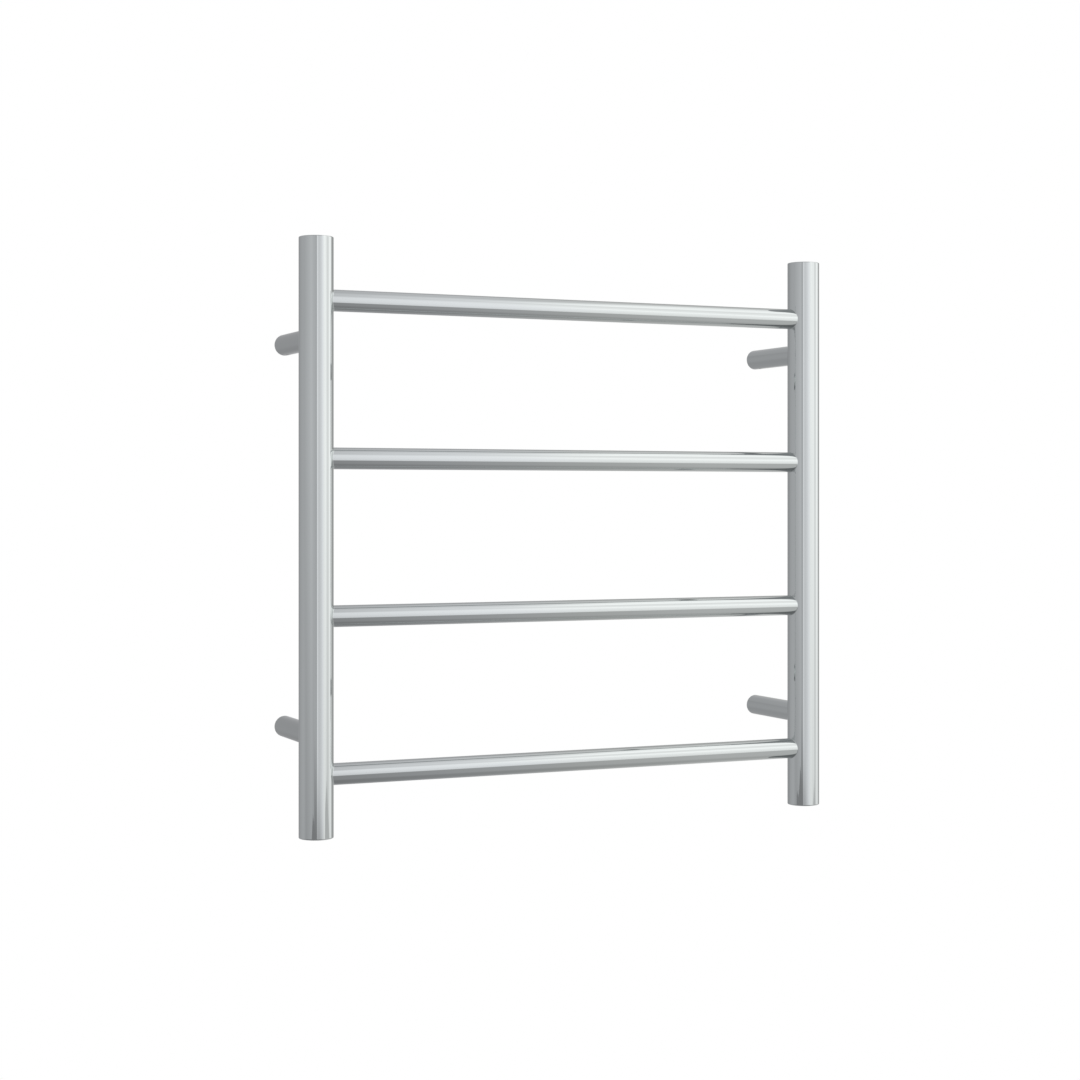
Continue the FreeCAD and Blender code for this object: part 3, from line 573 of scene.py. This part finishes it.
material, tree, place = blank_material("turned_aluminium_bosses")
folded = add(tree, "VectorMath", {0: place}, operation="ABSOLUTE")
centred = add(tree, "VectorMath", {0: folded, 1: (boss_x, 0, boss_z)}, operation="SUBTRACT")
flat = add(tree, "VectorMath", {0: centred, 1: (1, 0, 1)}, operation="MULTIPLY")
reach = add(tree, "VectorMath", {0: flat}, operation="LENGTH")
parts = add(tree, "SeparateXYZ", {"Vector": place})
spiral = add(tree, "CombineXYZ", {"X": reach, "Y": parts.outputs["Y"]})
rings = add(tree, "TexNoise", {"Vector": spiral, "Scale": 1 / FEED, "Detail": 2.0}, noise_dimensions="2D")
cloud = add(tree, "TexNoise", {"Vector": place, "Scale": 1 / CLOUD, "Detail": 3.0})
tint = add(tree, "Mix", {"Factor": cloud, "A": linear("#C9CBCE"), "B": linear("#DFE0E2")}, data_type="RGBA")
rough = add(tree, "MapRange", {"Value": rings, "To Min": 0.22, "To Max": 0.42})
grooves = add(tree, "Bump", {"Height": rings, "Strength": 0.6, "Distance": GROOVE_DEPTH})
shader = add(tree, "BsdfPrincipled", {"Base Color": tint, "Metallic": 1.0, "Roughness": rough,
                                      "Normal": grooves})
add(tree, "OutputMaterial", {"Surface": shader})
dress(material, *[f"{level}_{side}_wall_boss" for level in ("lower", "upper") for side in ("left", "right")])

# %% [markdown]
# ## Stainless grub screws
# Grub screws are cold-headed and thread-rolled, then left as they are: a dull grey steel.
# Their threads are 0.7 mm apart along the screw, which stands upright, and a fine wave
# along Z draws them on the plain CAD cylinders. A wave texture of scale s has 10 s / pi
# bands in a metre, which gives the scale for a pitch.

# %% Grub screws
THREAD_PITCH = 0.7 * MM
THREAD_DEPTH = 0.3 * MM
GREASE = 1.2 * MM

material, tree, place = blank_material("rolled_stainless_grub_screws")
thread = add(tree, "TexWave", {"Vector": place, "Scale": math.pi / (10 * THREAD_PITCH)},
             wave_type="BANDS", bands_direction="Z", wave_profile="TRI")
grease = add(tree, "TexNoise", {"Vector": place, "Scale": 1 / GREASE, "Detail": 3.0})
tint = add(tree, "Mix", {"Factor": grease, "A": linear("#8E9091"), "B": linear("#B4B7B8")}, data_type="RGBA")
rough = add(tree, "MapRange", {"Value": grease, "To Min": 0.28, "To Max": 0.45})
ridges = add(tree, "Bump", {"Height": thread, "Strength": 0.6, "Distance": THREAD_DEPTH})
shader = add(tree, "BsdfPrincipled", {"Base Color": tint, "Metallic": 1.0, "Roughness": rough,
                                      "Normal": ridges})
add(tree, "OutputMaterial", {"Surface": shader})
dress(material, "standoff_grub_screws")

# %% [markdown]
# ## Silicone
# The grommet is moulded black silicone: a soft, slightly dusty matte with the fine pits of
# a spark-eroded mould, about 0.15 mm across. The heating cable is extruded white silicone.
# The die leaves faint lines along it and the surface is mottled where it picked up talc.

# %% Silicone grommet
PIT = 0.15 * MM
PIT_DEPTH = 0.03 * MM
DUST = 3 * MM

material, tree, place = blank_material("moulded_black_silicone_grommet")
pits = add(tree, "TexNoise", {"Vector": place, "Scale": 1 / PIT, "Detail": 2.0})
dust = add(tree, "TexNoise", {"Vector": place, "Scale": 1 / DUST, "Detail": 3.0})
tint = add(tree, "Mix", {"Factor": dust, "A": linear("#1B1B1C"), "B": linear("#2D2D2E")}, data_type="RGBA")
rough = add(tree, "MapRange", {"Value": dust, "To Min": 0.50, "To Max": 0.68})
skin_of_mould = add(tree, "Bump", {"Height": pits, "Strength": 0.3, "Distance": PIT_DEPTH})
shader = add(tree, "BsdfPrincipled", {"Base Color": tint, "Roughness": rough, "IOR": 1.43,
                                      "Normal": skin_of_mould})
add(tree, "OutputMaterial", {"Surface": shader})
dress(material, "lead_grommet")

# %% Silicone cables
TALC = 2.5 * MM
FLOW_LINE = 0.5 * MM
FLOW_DEPTH = 0.05 * MM
SILICONE_GLOW_DEPTH = 0.8 * MM

material, tree, place = blank_material("extruded_white_silicone_cable")
talc = add(tree, "TexNoise", {"Vector": place, "Scale": 1 / TALC, "Detail": 4.0, "Roughness": 0.6})
flow = add(tree, "TexNoise", {"Vector": place, "Scale": 1 / FLOW_LINE, "Detail": 2.0})
tint = add(tree, "Mix", {"Factor": talc, "A": linear("#DAD7CC"), "B": linear("#F0EEE6")}, data_type="RGBA")
rough = add(tree, "MapRange", {"Value": talc, "To Min": 0.38, "To Max": 0.55})
lines = add(tree, "Bump", {"Height": flow, "Strength": 0.15, "Distance": FLOW_DEPTH})
shader = add(tree, "BsdfPrincipled", {"Base Color": tint, "Roughness": rough, "IOR": 1.43,
                                      "Subsurface Weight": 0.1,
                                      "Subsurface Scale": SILICONE_GLOW_DEPTH, "Normal": lines})
add(tree, "OutputMaterial", {"Surface": shader})
dress(material, "heating_cable", "return_tail")

# %% [markdown]
# ## Splices, cut-out and sleeve
# A closed-end splice is injection-moulded natural nylon, milky and glossy, with a tin-plated
# barrel pressed inside. The thermal cut-out is a deep-drawn aluminium can with draw lines
# along it. Its sleeve is black polyolefin that was shrunk with hot air, which leaves soft
# wrinkles round it, two or three millimetres apart.

# %% Nylon splices
MILK = 4 * MM
SINK_DEPTH = 0.3 * MM
NYLON_GLOW_DEPTH = 1.5 * MM

material, tree, place = blank_material("moulded_nylon_splice")
milk = add(tree, "TexNoise", {"Vector": place, "Scale": 1 / MILK, "Detail": 2.0})
tint = add(tree, "Mix", {"Factor": milk, "A": linear("#E2DCC6"), "B": linear("#F1ECDB")}, data_type="RGBA")
rough = add(tree, "MapRange", {"Value": milk, "To Min": 0.22, "To Max": 0.34})
sink = add(tree, "Bump", {"Height": milk, "Strength": 0.1, "Distance": SINK_DEPTH})
shader = add(tree, "BsdfPrincipled", {"Base Color": tint, "Roughness": rough, "IOR": 1.53,
                                      "Subsurface Weight": 0.25,
                                      "Subsurface Scale": NYLON_GLOW_DEPTH, "Normal": sink})
add(tree, "OutputMaterial", {"Surface": shader})
dress(material, "live_splice", "neutral_splice")

# %% Drawn can
DRAW_LINE = 0.4 * MM
DRAW_LENGTH = 12 * MM
DRAW_DEPTH = 0.03 * MM

material, tree, place = blank_material("drawn_aluminium_can")
along = add(tree, "Mapping", {"Vector": place, "Scale": (1 / DRAW_LINE, 1 / DRAW_LINE, 1 / DRAW_LENGTH)})
draw = add(tree, "TexNoise", {"Vector": along, "Scale": 1.0, "Detail": 3.0})
tint = add(tree, "Mix", {"Factor": draw, "A": linear("#BDBFC2"), "B": linear("#D6D8DA")}, data_type="RGBA")
rough = add(tree, "MapRange", {"Value": draw, "To Min": 0.24, "To Max": 0.38})
streaks = add(tree, "Bump", {"Height": draw, "Strength": 0.2, "Distance": DRAW_DEPTH})
shader = add(tree, "BsdfPrincipled", {"Base Color": tint, "Metallic": 1.0, "Roughness": rough,
                                      "Normal": streaks})
add(tree, "OutputMaterial", {"Surface": shader})
dress(material, "thermal_cutout")

# %% Shrunk sleeve
WRINKLE = 2.5 * MM
WRINKLE_WIDTH = 6 * MM
WRINKLE_DEPTH = 0.3 * MM

material, tree, place = blank_material("shrunk_black_polyolefin_sleeve")
squeezed = add(tree, "Mapping", {"Vector": place,
                                 "Scale": (1 / WRINKLE_WIDTH, 1 / WRINKLE_WIDTH, 1 / WRINKLE)})
wrinkles = add(tree, "TexNoise", {"Vector": squeezed, "Scale": 1.0, "Detail": 2.0, "Distortion": 0.6})
tint = add(tree, "Mix", {"Factor": wrinkles, "A": linear("#161617"), "B": linear("#242425")},
           data_type="RGBA")
rough = add(tree, "MapRange", {"Value": wrinkles, "To Min": 0.34, "To Max": 0.5})
folds = add(tree, "Bump", {"Height": wrinkles, "Strength": 0.5, "Distance": WRINKLE_DEPTH})
shader = add(tree, "BsdfPrincipled", {"Base Color": tint, "Roughness": rough, "IOR": 1.49, "Normal": folds})
add(tree, "OutputMaterial", {"Surface": shader})
dress(material, "cutout_sleeve")

# %% [markdown]
# ## Earth connection
# The ring terminal is stamped from tinned copper: a soft pale grey with cloudy patches where
# the tin ran thin and the copper warms it. The screw and the toothed washer are zinc-plated
# steel, passivated clear, which gives a faint blue cast that drifts from place to place.

# %% Tinned terminal
TIN_CLOUD = 1.8 * MM
TIN_DEPTH = 0.05 * MM

material, tree, place = blank_material("tinned_copper_terminal")
tin = add(tree, "TexNoise", {"Vector": place, "Scale": 1 / TIN_CLOUD, "Detail": 4.0, "Roughness": 0.6})
thin = add(tree, "MapRange", {"Value": tin, "From Min": 0.62, "From Max": 0.75})
tint = add(tree, "Mix", {"Factor": thin, "A": linear("#C6C5C0"), "B": linear("#C2A48F")}, data_type="RGBA")
rough = add(tree, "MapRange", {"Value": tin, "To Min": 0.26, "To Max": 0.42})
ripple = add(tree, "Bump", {"Height": tin, "Strength": 0.2, "Distance": TIN_DEPTH})
shader = add(tree, "BsdfPrincipled", {"Base Color": tint, "Metallic": 1.0, "Roughness": rough,
                                      "Normal": ripple})
add(tree, "OutputMaterial", {"Surface": shader})
dress(material, "earth_terminal")

# %% Zinc-plated fasteners
DRIFT = 2.2 * MM
CRYSTAL = 0.35 * MM
CRYSTAL_DEPTH = 0.02 * MM

material, tree, place = blank_material("zinc_plated_steel_fasteners")
drift = add(tree, "TexNoise", {"Vector": place, "Scale": 1 / DRIFT, "Detail": 2.0})
spangle = add(tree, "TexVoronoi", {"Vector": place, "Scale": 1 / CRYSTAL})
tint = add(tree, "Mix", {"Factor": drift, "A": linear("#B3BAC4"), "B": linear("#CFD0CC")}, data_type="RGBA")
rough = add(tree, "MapRange", {"Value": spangle, "To Min": 0.24, "To Max": 0.40})
crystals = add(tree, "Bump", {"Height": spangle, "Strength": 0.15, "Distance": CRYSTAL_DEPTH})
shader = add(tree, "BsdfPrincipled", {"Base Color": tint, "Metallic": 1.0, "Roughness": rough,
                                      "Normal": crystals})
add(tree, "OutputMaterial", {"Surface": shader})
dress(material, "earth_screw", "earth_washer")

# %% [markdown]
# ## The room that the steel mirrors
# Polished steel has no look of its own: it shows the studio. Around the rack there is a
# grey room with a bright strip to the right, a ceiling and a darker floor. The room is a
# world shader that works from the direction of a ray. The walls come from a colour ramp
# that is read like a compass: zero degrees is straight in front of the rack, and positive
# angles turn to its right. Each light goes into a ramp divided by a peak, so that the
# ramp's greys stay between black and white, and is multiplied by the peak after.

# %% Walls
AROUND_ROOM = [
    (-180, 0.40), (-160, 0.41), (-145, 0.50), (-120, 0.56), (-100, 0.57), (-90, 0.60),
    (-60, 0.69), (-50, 0.73), (-42, 0.70), (-30, 0.64), (-14, 0.64), (-8, 0.95),
    (12, 1.05), (28, 1.24), (36, 1.32), (48, 1.40), (54, 1.24), (60, 1.10),
    (68, 1.10), (76, 1.32), (82, 1.46), (90, 1.48), (96, 1.20), (102, 0.74),
    (112, 0.50), (122, 0.42), (142, 0.60), (156, 0.55), (168, 0.44), (180, 0.40),
]
PEAK = 1.6


def zones(ramp, lights, start, stop):
    """Fill a colour ramp with greys from a list of (place, light).

    The ramp runs from place `start` to place `stop`, and holds each light divided by PEAK.
    """
    stops = ramp.color_ramp.elements
    while len(stops) > 1:
        stops.remove(stops[-1])
    for index, (where, light) in enumerate(lights):
        position = (where - start) / (stop - start)
        grey = stops[0] if index == 0 else stops.new(position)
        grey.position = position
        grey.color = (*[light / PEAK] * 3, 1)


world = bpy.data.worlds.new("studio_room")
world.use_nodes = True
scene.world = world
room = world.node_tree
room.nodes.clear()
look = add(room, "SeparateXYZ", {"Vector": add(room, "TexCoord").outputs["Generated"]})
across, deep, up = look.outputs
forward = add(room, "Math", {0: deep, 1: -1.0}, operation="MULTIPLY")
turned = add(room, "Math", {0: across, 1: forward}, operation="ARCTAN2")
compass = add(room, "Math", {0: turned, 1: 0.5 / math.pi, 2: 0.5}, operation="MULTIPLY_ADD")
horizon_ramp = add(room, "ValToRGB", {"Fac": compass})
zones(horizon_ramp, AROUND_ROOM, -180, 180)
walls = add(room, "Math", {0: horizon_ramp, 1: PEAK}, operation="MULTIPLY")
print("studio room:", len(AROUND_ROOM), "zones round the horizon")

# %% [markdown]
# The walls get darker towards the floor, except behind the rack. A Map Range node with a
# smooth step blends from one light to another and leaves no edge to see. It is used so often
# that its setting gets a short name.

# %% Walls near the floor
SMOOTH = {"interpolation_type": "SMOOTHSTEP"}
LOW_WALLS = 0.76

fall = add(room, "MapRange", {"Value": up, "From Min": -0.2, "From Max": 0.04, "To Min": LOW_WALLS}, **SMOOTH)
front = add(room, "MapRange", {"Value": deep, "From Min": 0.3, "From Max": -0.1}, **SMOOTH)
dimming = add(room, "Mix", {"Factor": front, "A": 1.0, "B": fall})
walls = add(room, "Math", {0: walls, 1: dimming}, operation="MULTIPLY")
print("in front, walls at the floor keep", LOW_WALLS, "of their light")

# %% [markdown]
# The floor is brightest at the right, where its light grows with how far to the right a ray
# goes, up to a limit. Elsewhere it is dark, a little less so towards the back. Straight below
# the rack, and close to the wall behind it, the floor is darker again.

# %% Floor of the room
FLOOR_GROWTH = 1.75
FLOOR_START = -0.18
FLOOR_BRIGHTEST = 0.66
FLOOR_FRONT = 0.34
FLOOR_BACK = 0.42
STRAIGHT_BELOW = 0.78
NEAR_BACK_WALL = 0.76

low_right = add(room, "Math", {0: across, 1: FLOOR_GROWTH, 2: FLOOR_START}, operation="MULTIPLY_ADD")
low_right = add(room, "Math", {0: low_right, 1: FLOOR_BRIGHTEST}, operation="MINIMUM")
low_left = add(room, "MapRange", {"Value": deep, "From Min": 0.0, "From Max": 0.6,
                                  "To Min": FLOOR_FRONT, "To Max": FLOOR_BACK}, **SMOOTH)
ground = add(room, "Math", {0: low_right, 1: low_left}, operation="MAXIMUM")
under = add(room, "MapRange", {"Value": up, "From Min": -0.92, "From Max": -0.74,
                               "To Min": STRAIGHT_BELOW}, **SMOOTH)
ground = add(room, "Math", {0: ground, 1: under}, operation="MULTIPLY")
skirting = add(room, "MapRange", {"Value": deep, "From Min": 0.87, "From Max": 0.93,
                                  "To Min": 1.0, "To Max": NEAR_BACK_WALL})
ground = add(room, "Math", {0: ground, 1: skirting}, operation="MULTIPLY")
print("floor: light", FLOOR_FRONT, "in front,", FLOOR_BACK, "at the back,", FLOOR_BRIGHTEST, "at the right")

# %% [markdown]
# The ceiling is dim at the left. Its middle part and its right part are read by their tilt:
# zero is the horizon in front, 90 is straight up and 180 is the horizon behind. A strip
# light crosses both at about 60 degrees. The border between the two runs at a slant: the
# further back it is, the further right it stands.

# %% Ceiling
LEFT_CEILING = 0.52
MIDDLE_CEILING = [
    (0, 1.08), (30, 1.10), (40, 1.06), (47, 1.00), (52, 1.01), (57, 1.08), (63, 1.10),
    (69, 1.01), (75, 1.00), (81, 0.90), (87, 0.82), (93, 0.78), (105, 0.81), (112, 0.81),
    (118, 0.74), (124, 0.68), (135, 0.50), (148, 0.42), (180, 0.52),
]
RIGHT_CEILING = [
    (0, 1.38), (30, 1.36), (38, 1.22), (45, 1.12), (51, 1.20), (57, 1.46), (63, 1.51),
    (69, 1.42), (75, 1.42), (87, 1.36), (93, 1.17), (99, 1.05), (105, 0.91), (111, 0.82),
    (118, 0.75), (124, 0.69), (135, 0.50), (148, 0.42), (180, 0.52),
]
BORDER_SLANT = -0.06

tilt = add(room, "Math", {0: up, 1: forward}, operation="ARCTAN2")
tilt_share = add(room, "Math", {0: tilt, 1: 1 / math.pi}, operation="MULTIPLY")
overhead = []
for lights in (MIDDLE_CEILING, RIGHT_CEILING):
    tilt_ramp = add(room, "ValToRGB", {"Fac": tilt_share})
    zones(tilt_ramp, lights, 0, 180)
    overhead.append(add(room, "Math", {0: tilt_ramp, 1: PEAK}, operation="MULTIPLY"))
slant = add(room, "Math", {0: tilt, 1: BORDER_SLANT, 2: across}, operation="MULTIPLY_ADD")
right_part = add(room, "MapRange", {"Value": slant, "From Min": 0.306, "From Max": 0.382}, **SMOOTH)
overhead = add(room, "Mix", {"Factor": right_part, "A": overhead[0], "B": overhead[1]})
middle_part = add(room, "MapRange", {"Value": across, "From Min": 0.22, "From Max": 0.40}, **SMOOTH)
ceiling = add(room, "Mix", {"Factor": middle_part, "A": LEFT_CEILING, "B": overhead})
print("ceiling:", len(MIDDLE_CEILING), "and", len(RIGHT_CEILING), "zones from front to back")

# %% [markdown]
# In the far right corner of the room the floor rises to a point, because a corner is further
# away than the walls beside it. The floor has a crisp edge in front of the rack, and behind
# the rack it melts into the wall.

# %% Edge of the floor
CORNER_DEGREES = 55
CORNER_TOP = -0.131
CORNER_RISE = 870
CORNER_BLUR = 5

turn_away = add(room, "Math", {0: compass, 1: 360.0, 2: -180.0 - CORNER_DEGREES}, operation="MULTIPLY_ADD")
turn_away = add(room, "Math", {0: turn_away}, operation="ABSOLUTE")
drop = add(room, "Math", {0: up, 1: -CORNER_RISE, 2: CORNER_TOP * CORNER_RISE}, operation="MULTIPLY_ADD")
within = add(room, "Math", {0: drop, 1: turn_away}, operation="SUBTRACT")
corner = add(room, "Math", {0: within, 1: 1 / CORNER_BLUR}, operation="MULTIPLY", use_clamp=True)
horizon = add(room, "MapRange", {"Value": up, "From Min": -0.165, "From Max": -0.185}, **SMOOTH)
front_floor = add(room, "Math", {0: corner, 1: horizon}, operation="MAXIMUM")
back_floor = add(room, "MapRange", {"Value": up, "From Min": -0.12, "From Max": -0.45}, **SMOOTH)
behind = add(room, "MapRange", {"Value": deep, "From Min": 0.0, "From Max": 0.4}, **SMOOTH)
floor_share = add(room, "Mix", {"Factor": behind, "A": front_floor, "B": back_floor})
print("corner of the room at", CORNER_DEGREES, "degrees to the right")

# %% [markdown]
# Now the parts come together. High up behind the rack the wall is a little paler, except at
# the right. Then the ceiling goes over the walls, and the floor over both.

# %% Walls, ceiling and floor
PALER_WALL = 0.07

high_up = add(room, "MapRange", {"Value": up, "From Min": 0.31, "From Max": 0.42,
                                 "To Max": PALER_WALL}, **SMOOTH)
left_behind = add(room, "Mix", {"Factor": middle_part, "A": behind, "B": 0.0})
walls = add(room, "Math", {0: high_up, 1: left_behind, 2: walls}, operation="MULTIPLY_ADD")
ceiling_share = add(room, "MapRange", {"Value": up, "From Min": 0.25, "From Max": 0.8}, **SMOOTH)
whole = add(room, "Mix", {"Factor": ceiling_share, "A": walls, "B": ceiling})
whole = add(room, "Mix", {"Factor": floor_share, "A": whole, "B": ground})
print("room:", len(room.nodes), "nodes so far")

# %% [markdown]
# The light is daylight: a touch cooler than white, and a touch warmer where it comes from the
# bright right side. The camera itself sees plain white behind the rack: a Light Path node
# tells its rays from the ones that come off the steel.

# %% Daylight and backdrop
COOL_LIGHT = (1.0, 1.0, 1.024, 1.0)
WARM_LIGHT = (1.0, 1.0, 0.991, 1.0)

warmth = add(room, "MapRange", {"Value": across, "From Min": 0.36, "From Max": 0.44}, **SMOOTH)
daylight = add(room, "Mix", {"Factor": warmth, "A": COOL_LIGHT, "B": WARM_LIGHT}, data_type="RGBA")
lit_room = add(room, "Background", {"Color": daylight, "Strength": whole})
backdrop = add(room, "Background", {"Color": (1, 1, 1, 1), "Strength": 1.0})
seen = add(room, "LightPath").outputs["Is Camera Ray"]
both = add(room, "MixShader", {0: seen, 1: lit_room, 2: backdrop})
add(room, "OutputWorld", {"Surface": both})
print("daylight: blue", COOL_LIGHT[2], "at the left and", WARM_LIGHT[2], "at the right")

# %% [markdown]
# ## The soft panel
# A long panel of lit cloth stands a little over a metre in front of the rack. It slants away
# to the right, so its glow changes slowly along it. Where its lit cloth begins at the left,
# there is a crisp edge, which draws the sharp line down the middle of each post. Left of that
# edge stands a strip of plain grey cloth. The panel only lights and mirrors: the camera looks
# straight through it. Its lower edge sags towards the far end.

# %% Cloths that only the steel sees
PANEL_CORNER = np.array([-0.554, -1.34])
PANEL_TURN = math.radians(-25)
PANEL_ENDS = (-0.45, 3.0)
PANEL_LOW = -0.60
PANEL_SAG = 0.07
PANEL_HIGH = 1.5
run = np.array([math.cos(PANEL_TURN), math.sin(PANEL_TURN)])


def upright(name, outline, nudge=0.0):
    """A flat cloth in the panel's plane that only the steel sees.

    Its points are (distance along the panel, height), and it stands `nudge` nearer the rack.
    """
    near = np.array([-run[1], run[0]]) * nudge
    flat = [(*(PANEL_CORNER + along * run + near), height) for along, height in outline]
    mesh = bpy.data.meshes.new(name)
    mesh.from_pydata(flat, [], [list(range(len(flat)))])
    cloth = bpy.data.objects.new(name, mesh)
    scene.collection.objects.link(cloth)
    cloth.visible_camera = False
    cloth.visible_shadow = False
    cloth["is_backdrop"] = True
    return cloth


lows = [PANEL_LOW - PANEL_SAG * along for along in PANEL_ENDS]
panel = upright("soft_panel", [(PANEL_ENDS[0], lows[0]), (PANEL_ENDS[0], PANEL_HIGH),
                               (PANEL_ENDS[1], PANEL_HIGH), (PANEL_ENDS[1], lows[1])])
print(f"soft panel: {PANEL_ENDS[1] - PANEL_ENDS[0]:.2f} m long, low edge {lows[0]:.3f} to {lows[1]:.3f} m")

# %% [markdown]
# The glow is a product of simple parts, read by the distance along the panel, in metres, and
# by the height. A ramp gives it along the panel. It is a little weaker lower down, and the
# foot of the near part is dimmed further. A slightly brighter band runs along the far part, a
# little under a metre above the middle of the rack. At its ends and its top the panel fades
# away into clear.

# %% Glow of the panel
PANEL_GLOW = [
    (-0.45, 0.70), (-0.2, 0.65), (0.0, 0.56), (0.015, 1.26), (0.07, 1.16), (0.14, 1.0),
    (0.24, 0.98), (0.33, 0.94), (0.45, 0.92), (0.55, 0.97), (0.78, 1.03), (1.0, 1.13),
    (1.3, 1.25), (1.8, 1.33), (2.25, 1.38), (3.0, 1.43),
]
LOW_GLOW = 0.81
HIGH_GLOW = 0.98
FOOT_SLOPE = 0.15
FOOT_GLOW = 0.5
BAND_HEIGHT = 0.92
BAND_GAIN = 0.12
FADE_LEFT = -0.30
FADE_RIGHT = 2.5
FADE_TOP = 0.9

glow, cloth, place = blank_material("soft_panel_glow")
from_corner = add(cloth, "VectorMath", {0: place, 1: (*PANEL_CORNER, 0)}, operation="SUBTRACT")
along = add(cloth, "VectorMath", {0: from_corner, 1: (*run, 0)}, operation="DOT_PRODUCT")
share = add(cloth, "MapRange", {"Value": along, "From Min": PANEL_ENDS[0], "From Max": PANEL_ENDS[1]})
shade = add(cloth, "ValToRGB", {"Fac": share})
zones(shade, PANEL_GLOW, *PANEL_ENDS)
height = add(cloth, "SeparateXYZ", {"Vector": place}).outputs["Z"]
rise = add(cloth, "MapRange", {"Value": height, "From Min": -0.75, "From Max": 0.25,
                               "To Min": LOW_GLOW, "To Max": HIGH_GLOW})
far = add(cloth, "MapRange", {"Value": along, "From Min": 1.3, "From Max": 1.85}, **SMOOTH)
slope = add(cloth, "Math", {0: along, 1: FOOT_SLOPE, 2: height}, operation="MULTIPLY_ADD")
foot = add(cloth, "MapRange", {"Value": slope, "From Min": -0.545, "From Max": -0.325,
                               "To Min": FOOT_GLOW}, **SMOOTH)
foot = add(cloth, "Math", {0: foot, 1: far}, operation="MAXIMUM")
off_band = add(cloth, "Math", {0: height, 1: BAND_HEIGHT}, operation="SUBTRACT")
off_band = add(cloth, "Math", {0: off_band}, operation="ABSOLUTE")
band = add(cloth, "MapRange", {"Value": off_band, "From Min": 0.55, "From Max": 0.1,
                               "To Max": BAND_GAIN}, **SMOOTH)
lift = add(cloth, "Math", {0: band, 1: far, 2: 1.0}, operation="MULTIPLY_ADD")
glowing = add(cloth, "Math", {0: shade, 1: PEAK}, operation="MULTIPLY")
for part in (rise, foot, lift):
    glowing = add(cloth, "Math", {0: glowing, 1: part}, operation="MULTIPLY")
daylight = add(cloth, "Mix", {"Factor": far, "A": COOL_LIGHT, "B": WARM_LIGHT}, data_type="RGBA")
emit = add(cloth, "Emission", {"Color": daylight, "Strength": glowing})
print("panel: glow", min(light for _, light in PANEL_GLOW), "to", max(light for _, light in PANEL_GLOW))

# %% Fades of the panel
top_fade = add(cloth, "MapRange", {"Value": height, "From Min": PANEL_HIGH, "From Max": FADE_TOP}, **SMOOTH)
left_fade = add(cloth, "MapRange", {"Value": along, "From Min": PANEL_ENDS[0], "From Max": FADE_LEFT})
right_fade = add(cloth, "MapRange", {"Value": along, "From Min": PANEL_ENDS[1], "From Max": FADE_RIGHT})
cover = add(cloth, "Math", {0: left_fade, 1: right_fade}, operation="MULTIPLY")
cover = add(cloth, "Math", {0: cover, 1: top_fade}, operation="MULTIPLY")
mix = add(cloth, "MixShader", {0: cover, 1: add(cloth, "BsdfTransparent"), 2: emit})
add(cloth, "OutputMaterial", {"Surface": mix})
panel.data.materials.append(glow)
print("panel: whole from", FADE_LEFT, "to", FADE_RIGHT, "m along it, and up to", FADE_TOP, "m")

# %% [markdown]
# A black-out cloth hangs low beside the panel. The feet of the posts mirror it as small dark
# wedges.

# %% Dark cloth
CLOTH_EDGE = [
    (-1.9, -0.62), (-1.36, -0.56), (-0.98, -0.53), (-0.76, -0.49), (-0.57, -0.442),
    (-0.35, -0.45), (-0.15, -0.49), (-0.01, -0.525),
]
CLOTH_LOW = -1.17
CLOTH_NUDGE = 0.02
CLOTH_LIGHT = 0.30

hem = [(CLOTH_EDGE[-1][0], CLOTH_LOW), (CLOTH_EDGE[0][0], CLOTH_LOW)]
dark = upright("dark_cloth", CLOTH_EDGE + hem, CLOTH_NUDGE)
velvet, tree, _ = blank_material("dark_cloth_dim_light")
dim = add(tree, "Emission", {"Color": COOL_LIGHT, "Strength": CLOTH_LIGHT})
add(tree, "OutputMaterial", {"Surface": dim})
dark.data.materials.append(velvet)
print("dark cloth: top edge up to", max(height for _, height in CLOTH_EDGE), "m")

# %% [markdown]
# ## The floor
# A plain pale floor lies 0.9 m below the foot of the rack. Its edge melts into the white
# backdrop. It is kept out of the steel's reflections, which have the room's own floor.

# %% Floor
FLOOR_Z = -1.175
FLOOR_RADIUS = 1.9
FLOOR_MELT = 0.7
FLOOR_SIDES = 96

angle = np.linspace(0, 2 * math.pi, FLOOR_SIDES, endpoint=False)
rim = np.stack([FLOOR_RADIUS * np.cos(angle), FLOOR_RADIUS * np.sin(angle),
                np.full(FLOOR_SIDES, FLOOR_Z)], -1)
floor_mesh = bpy.data.meshes.new("floor")
floor_mesh.from_pydata(rim.tolist(), [], [list(range(FLOOR_SIDES))])
floor = bpy.data.objects.new("floor", floor_mesh)
scene.collection.objects.link(floor)
floor.visible_glossy = False

lino, tree, place = blank_material("pale_floor")
shader = add(tree, "BsdfPrincipled", {"Base Color": linear("#EFEFED"), "Roughness": 0.6})
middle = add(tree, "VectorMath", {0: place, 1: (0, 0, FLOOR_Z)}, operation="DISTANCE")
melt = add(tree, "MapRange", {"Value": middle, "From Min": FLOOR_MELT, "From Max": FLOOR_RADIUS}, **SMOOTH)
mix = add(tree, "MixShader", {0: melt, 1: shader, 2: add(tree, "BsdfTransparent")})
add(tree, "OutputMaterial", {"Surface": mix})
floor_mesh.materials.append(lino)
floor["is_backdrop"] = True
print("floor at", FLOOR_Z, "m")

# %% Measure and finish
low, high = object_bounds()
print("visual box, mm:", [round(1000 * (b - a), 1) for a, b in zip(low, high)])
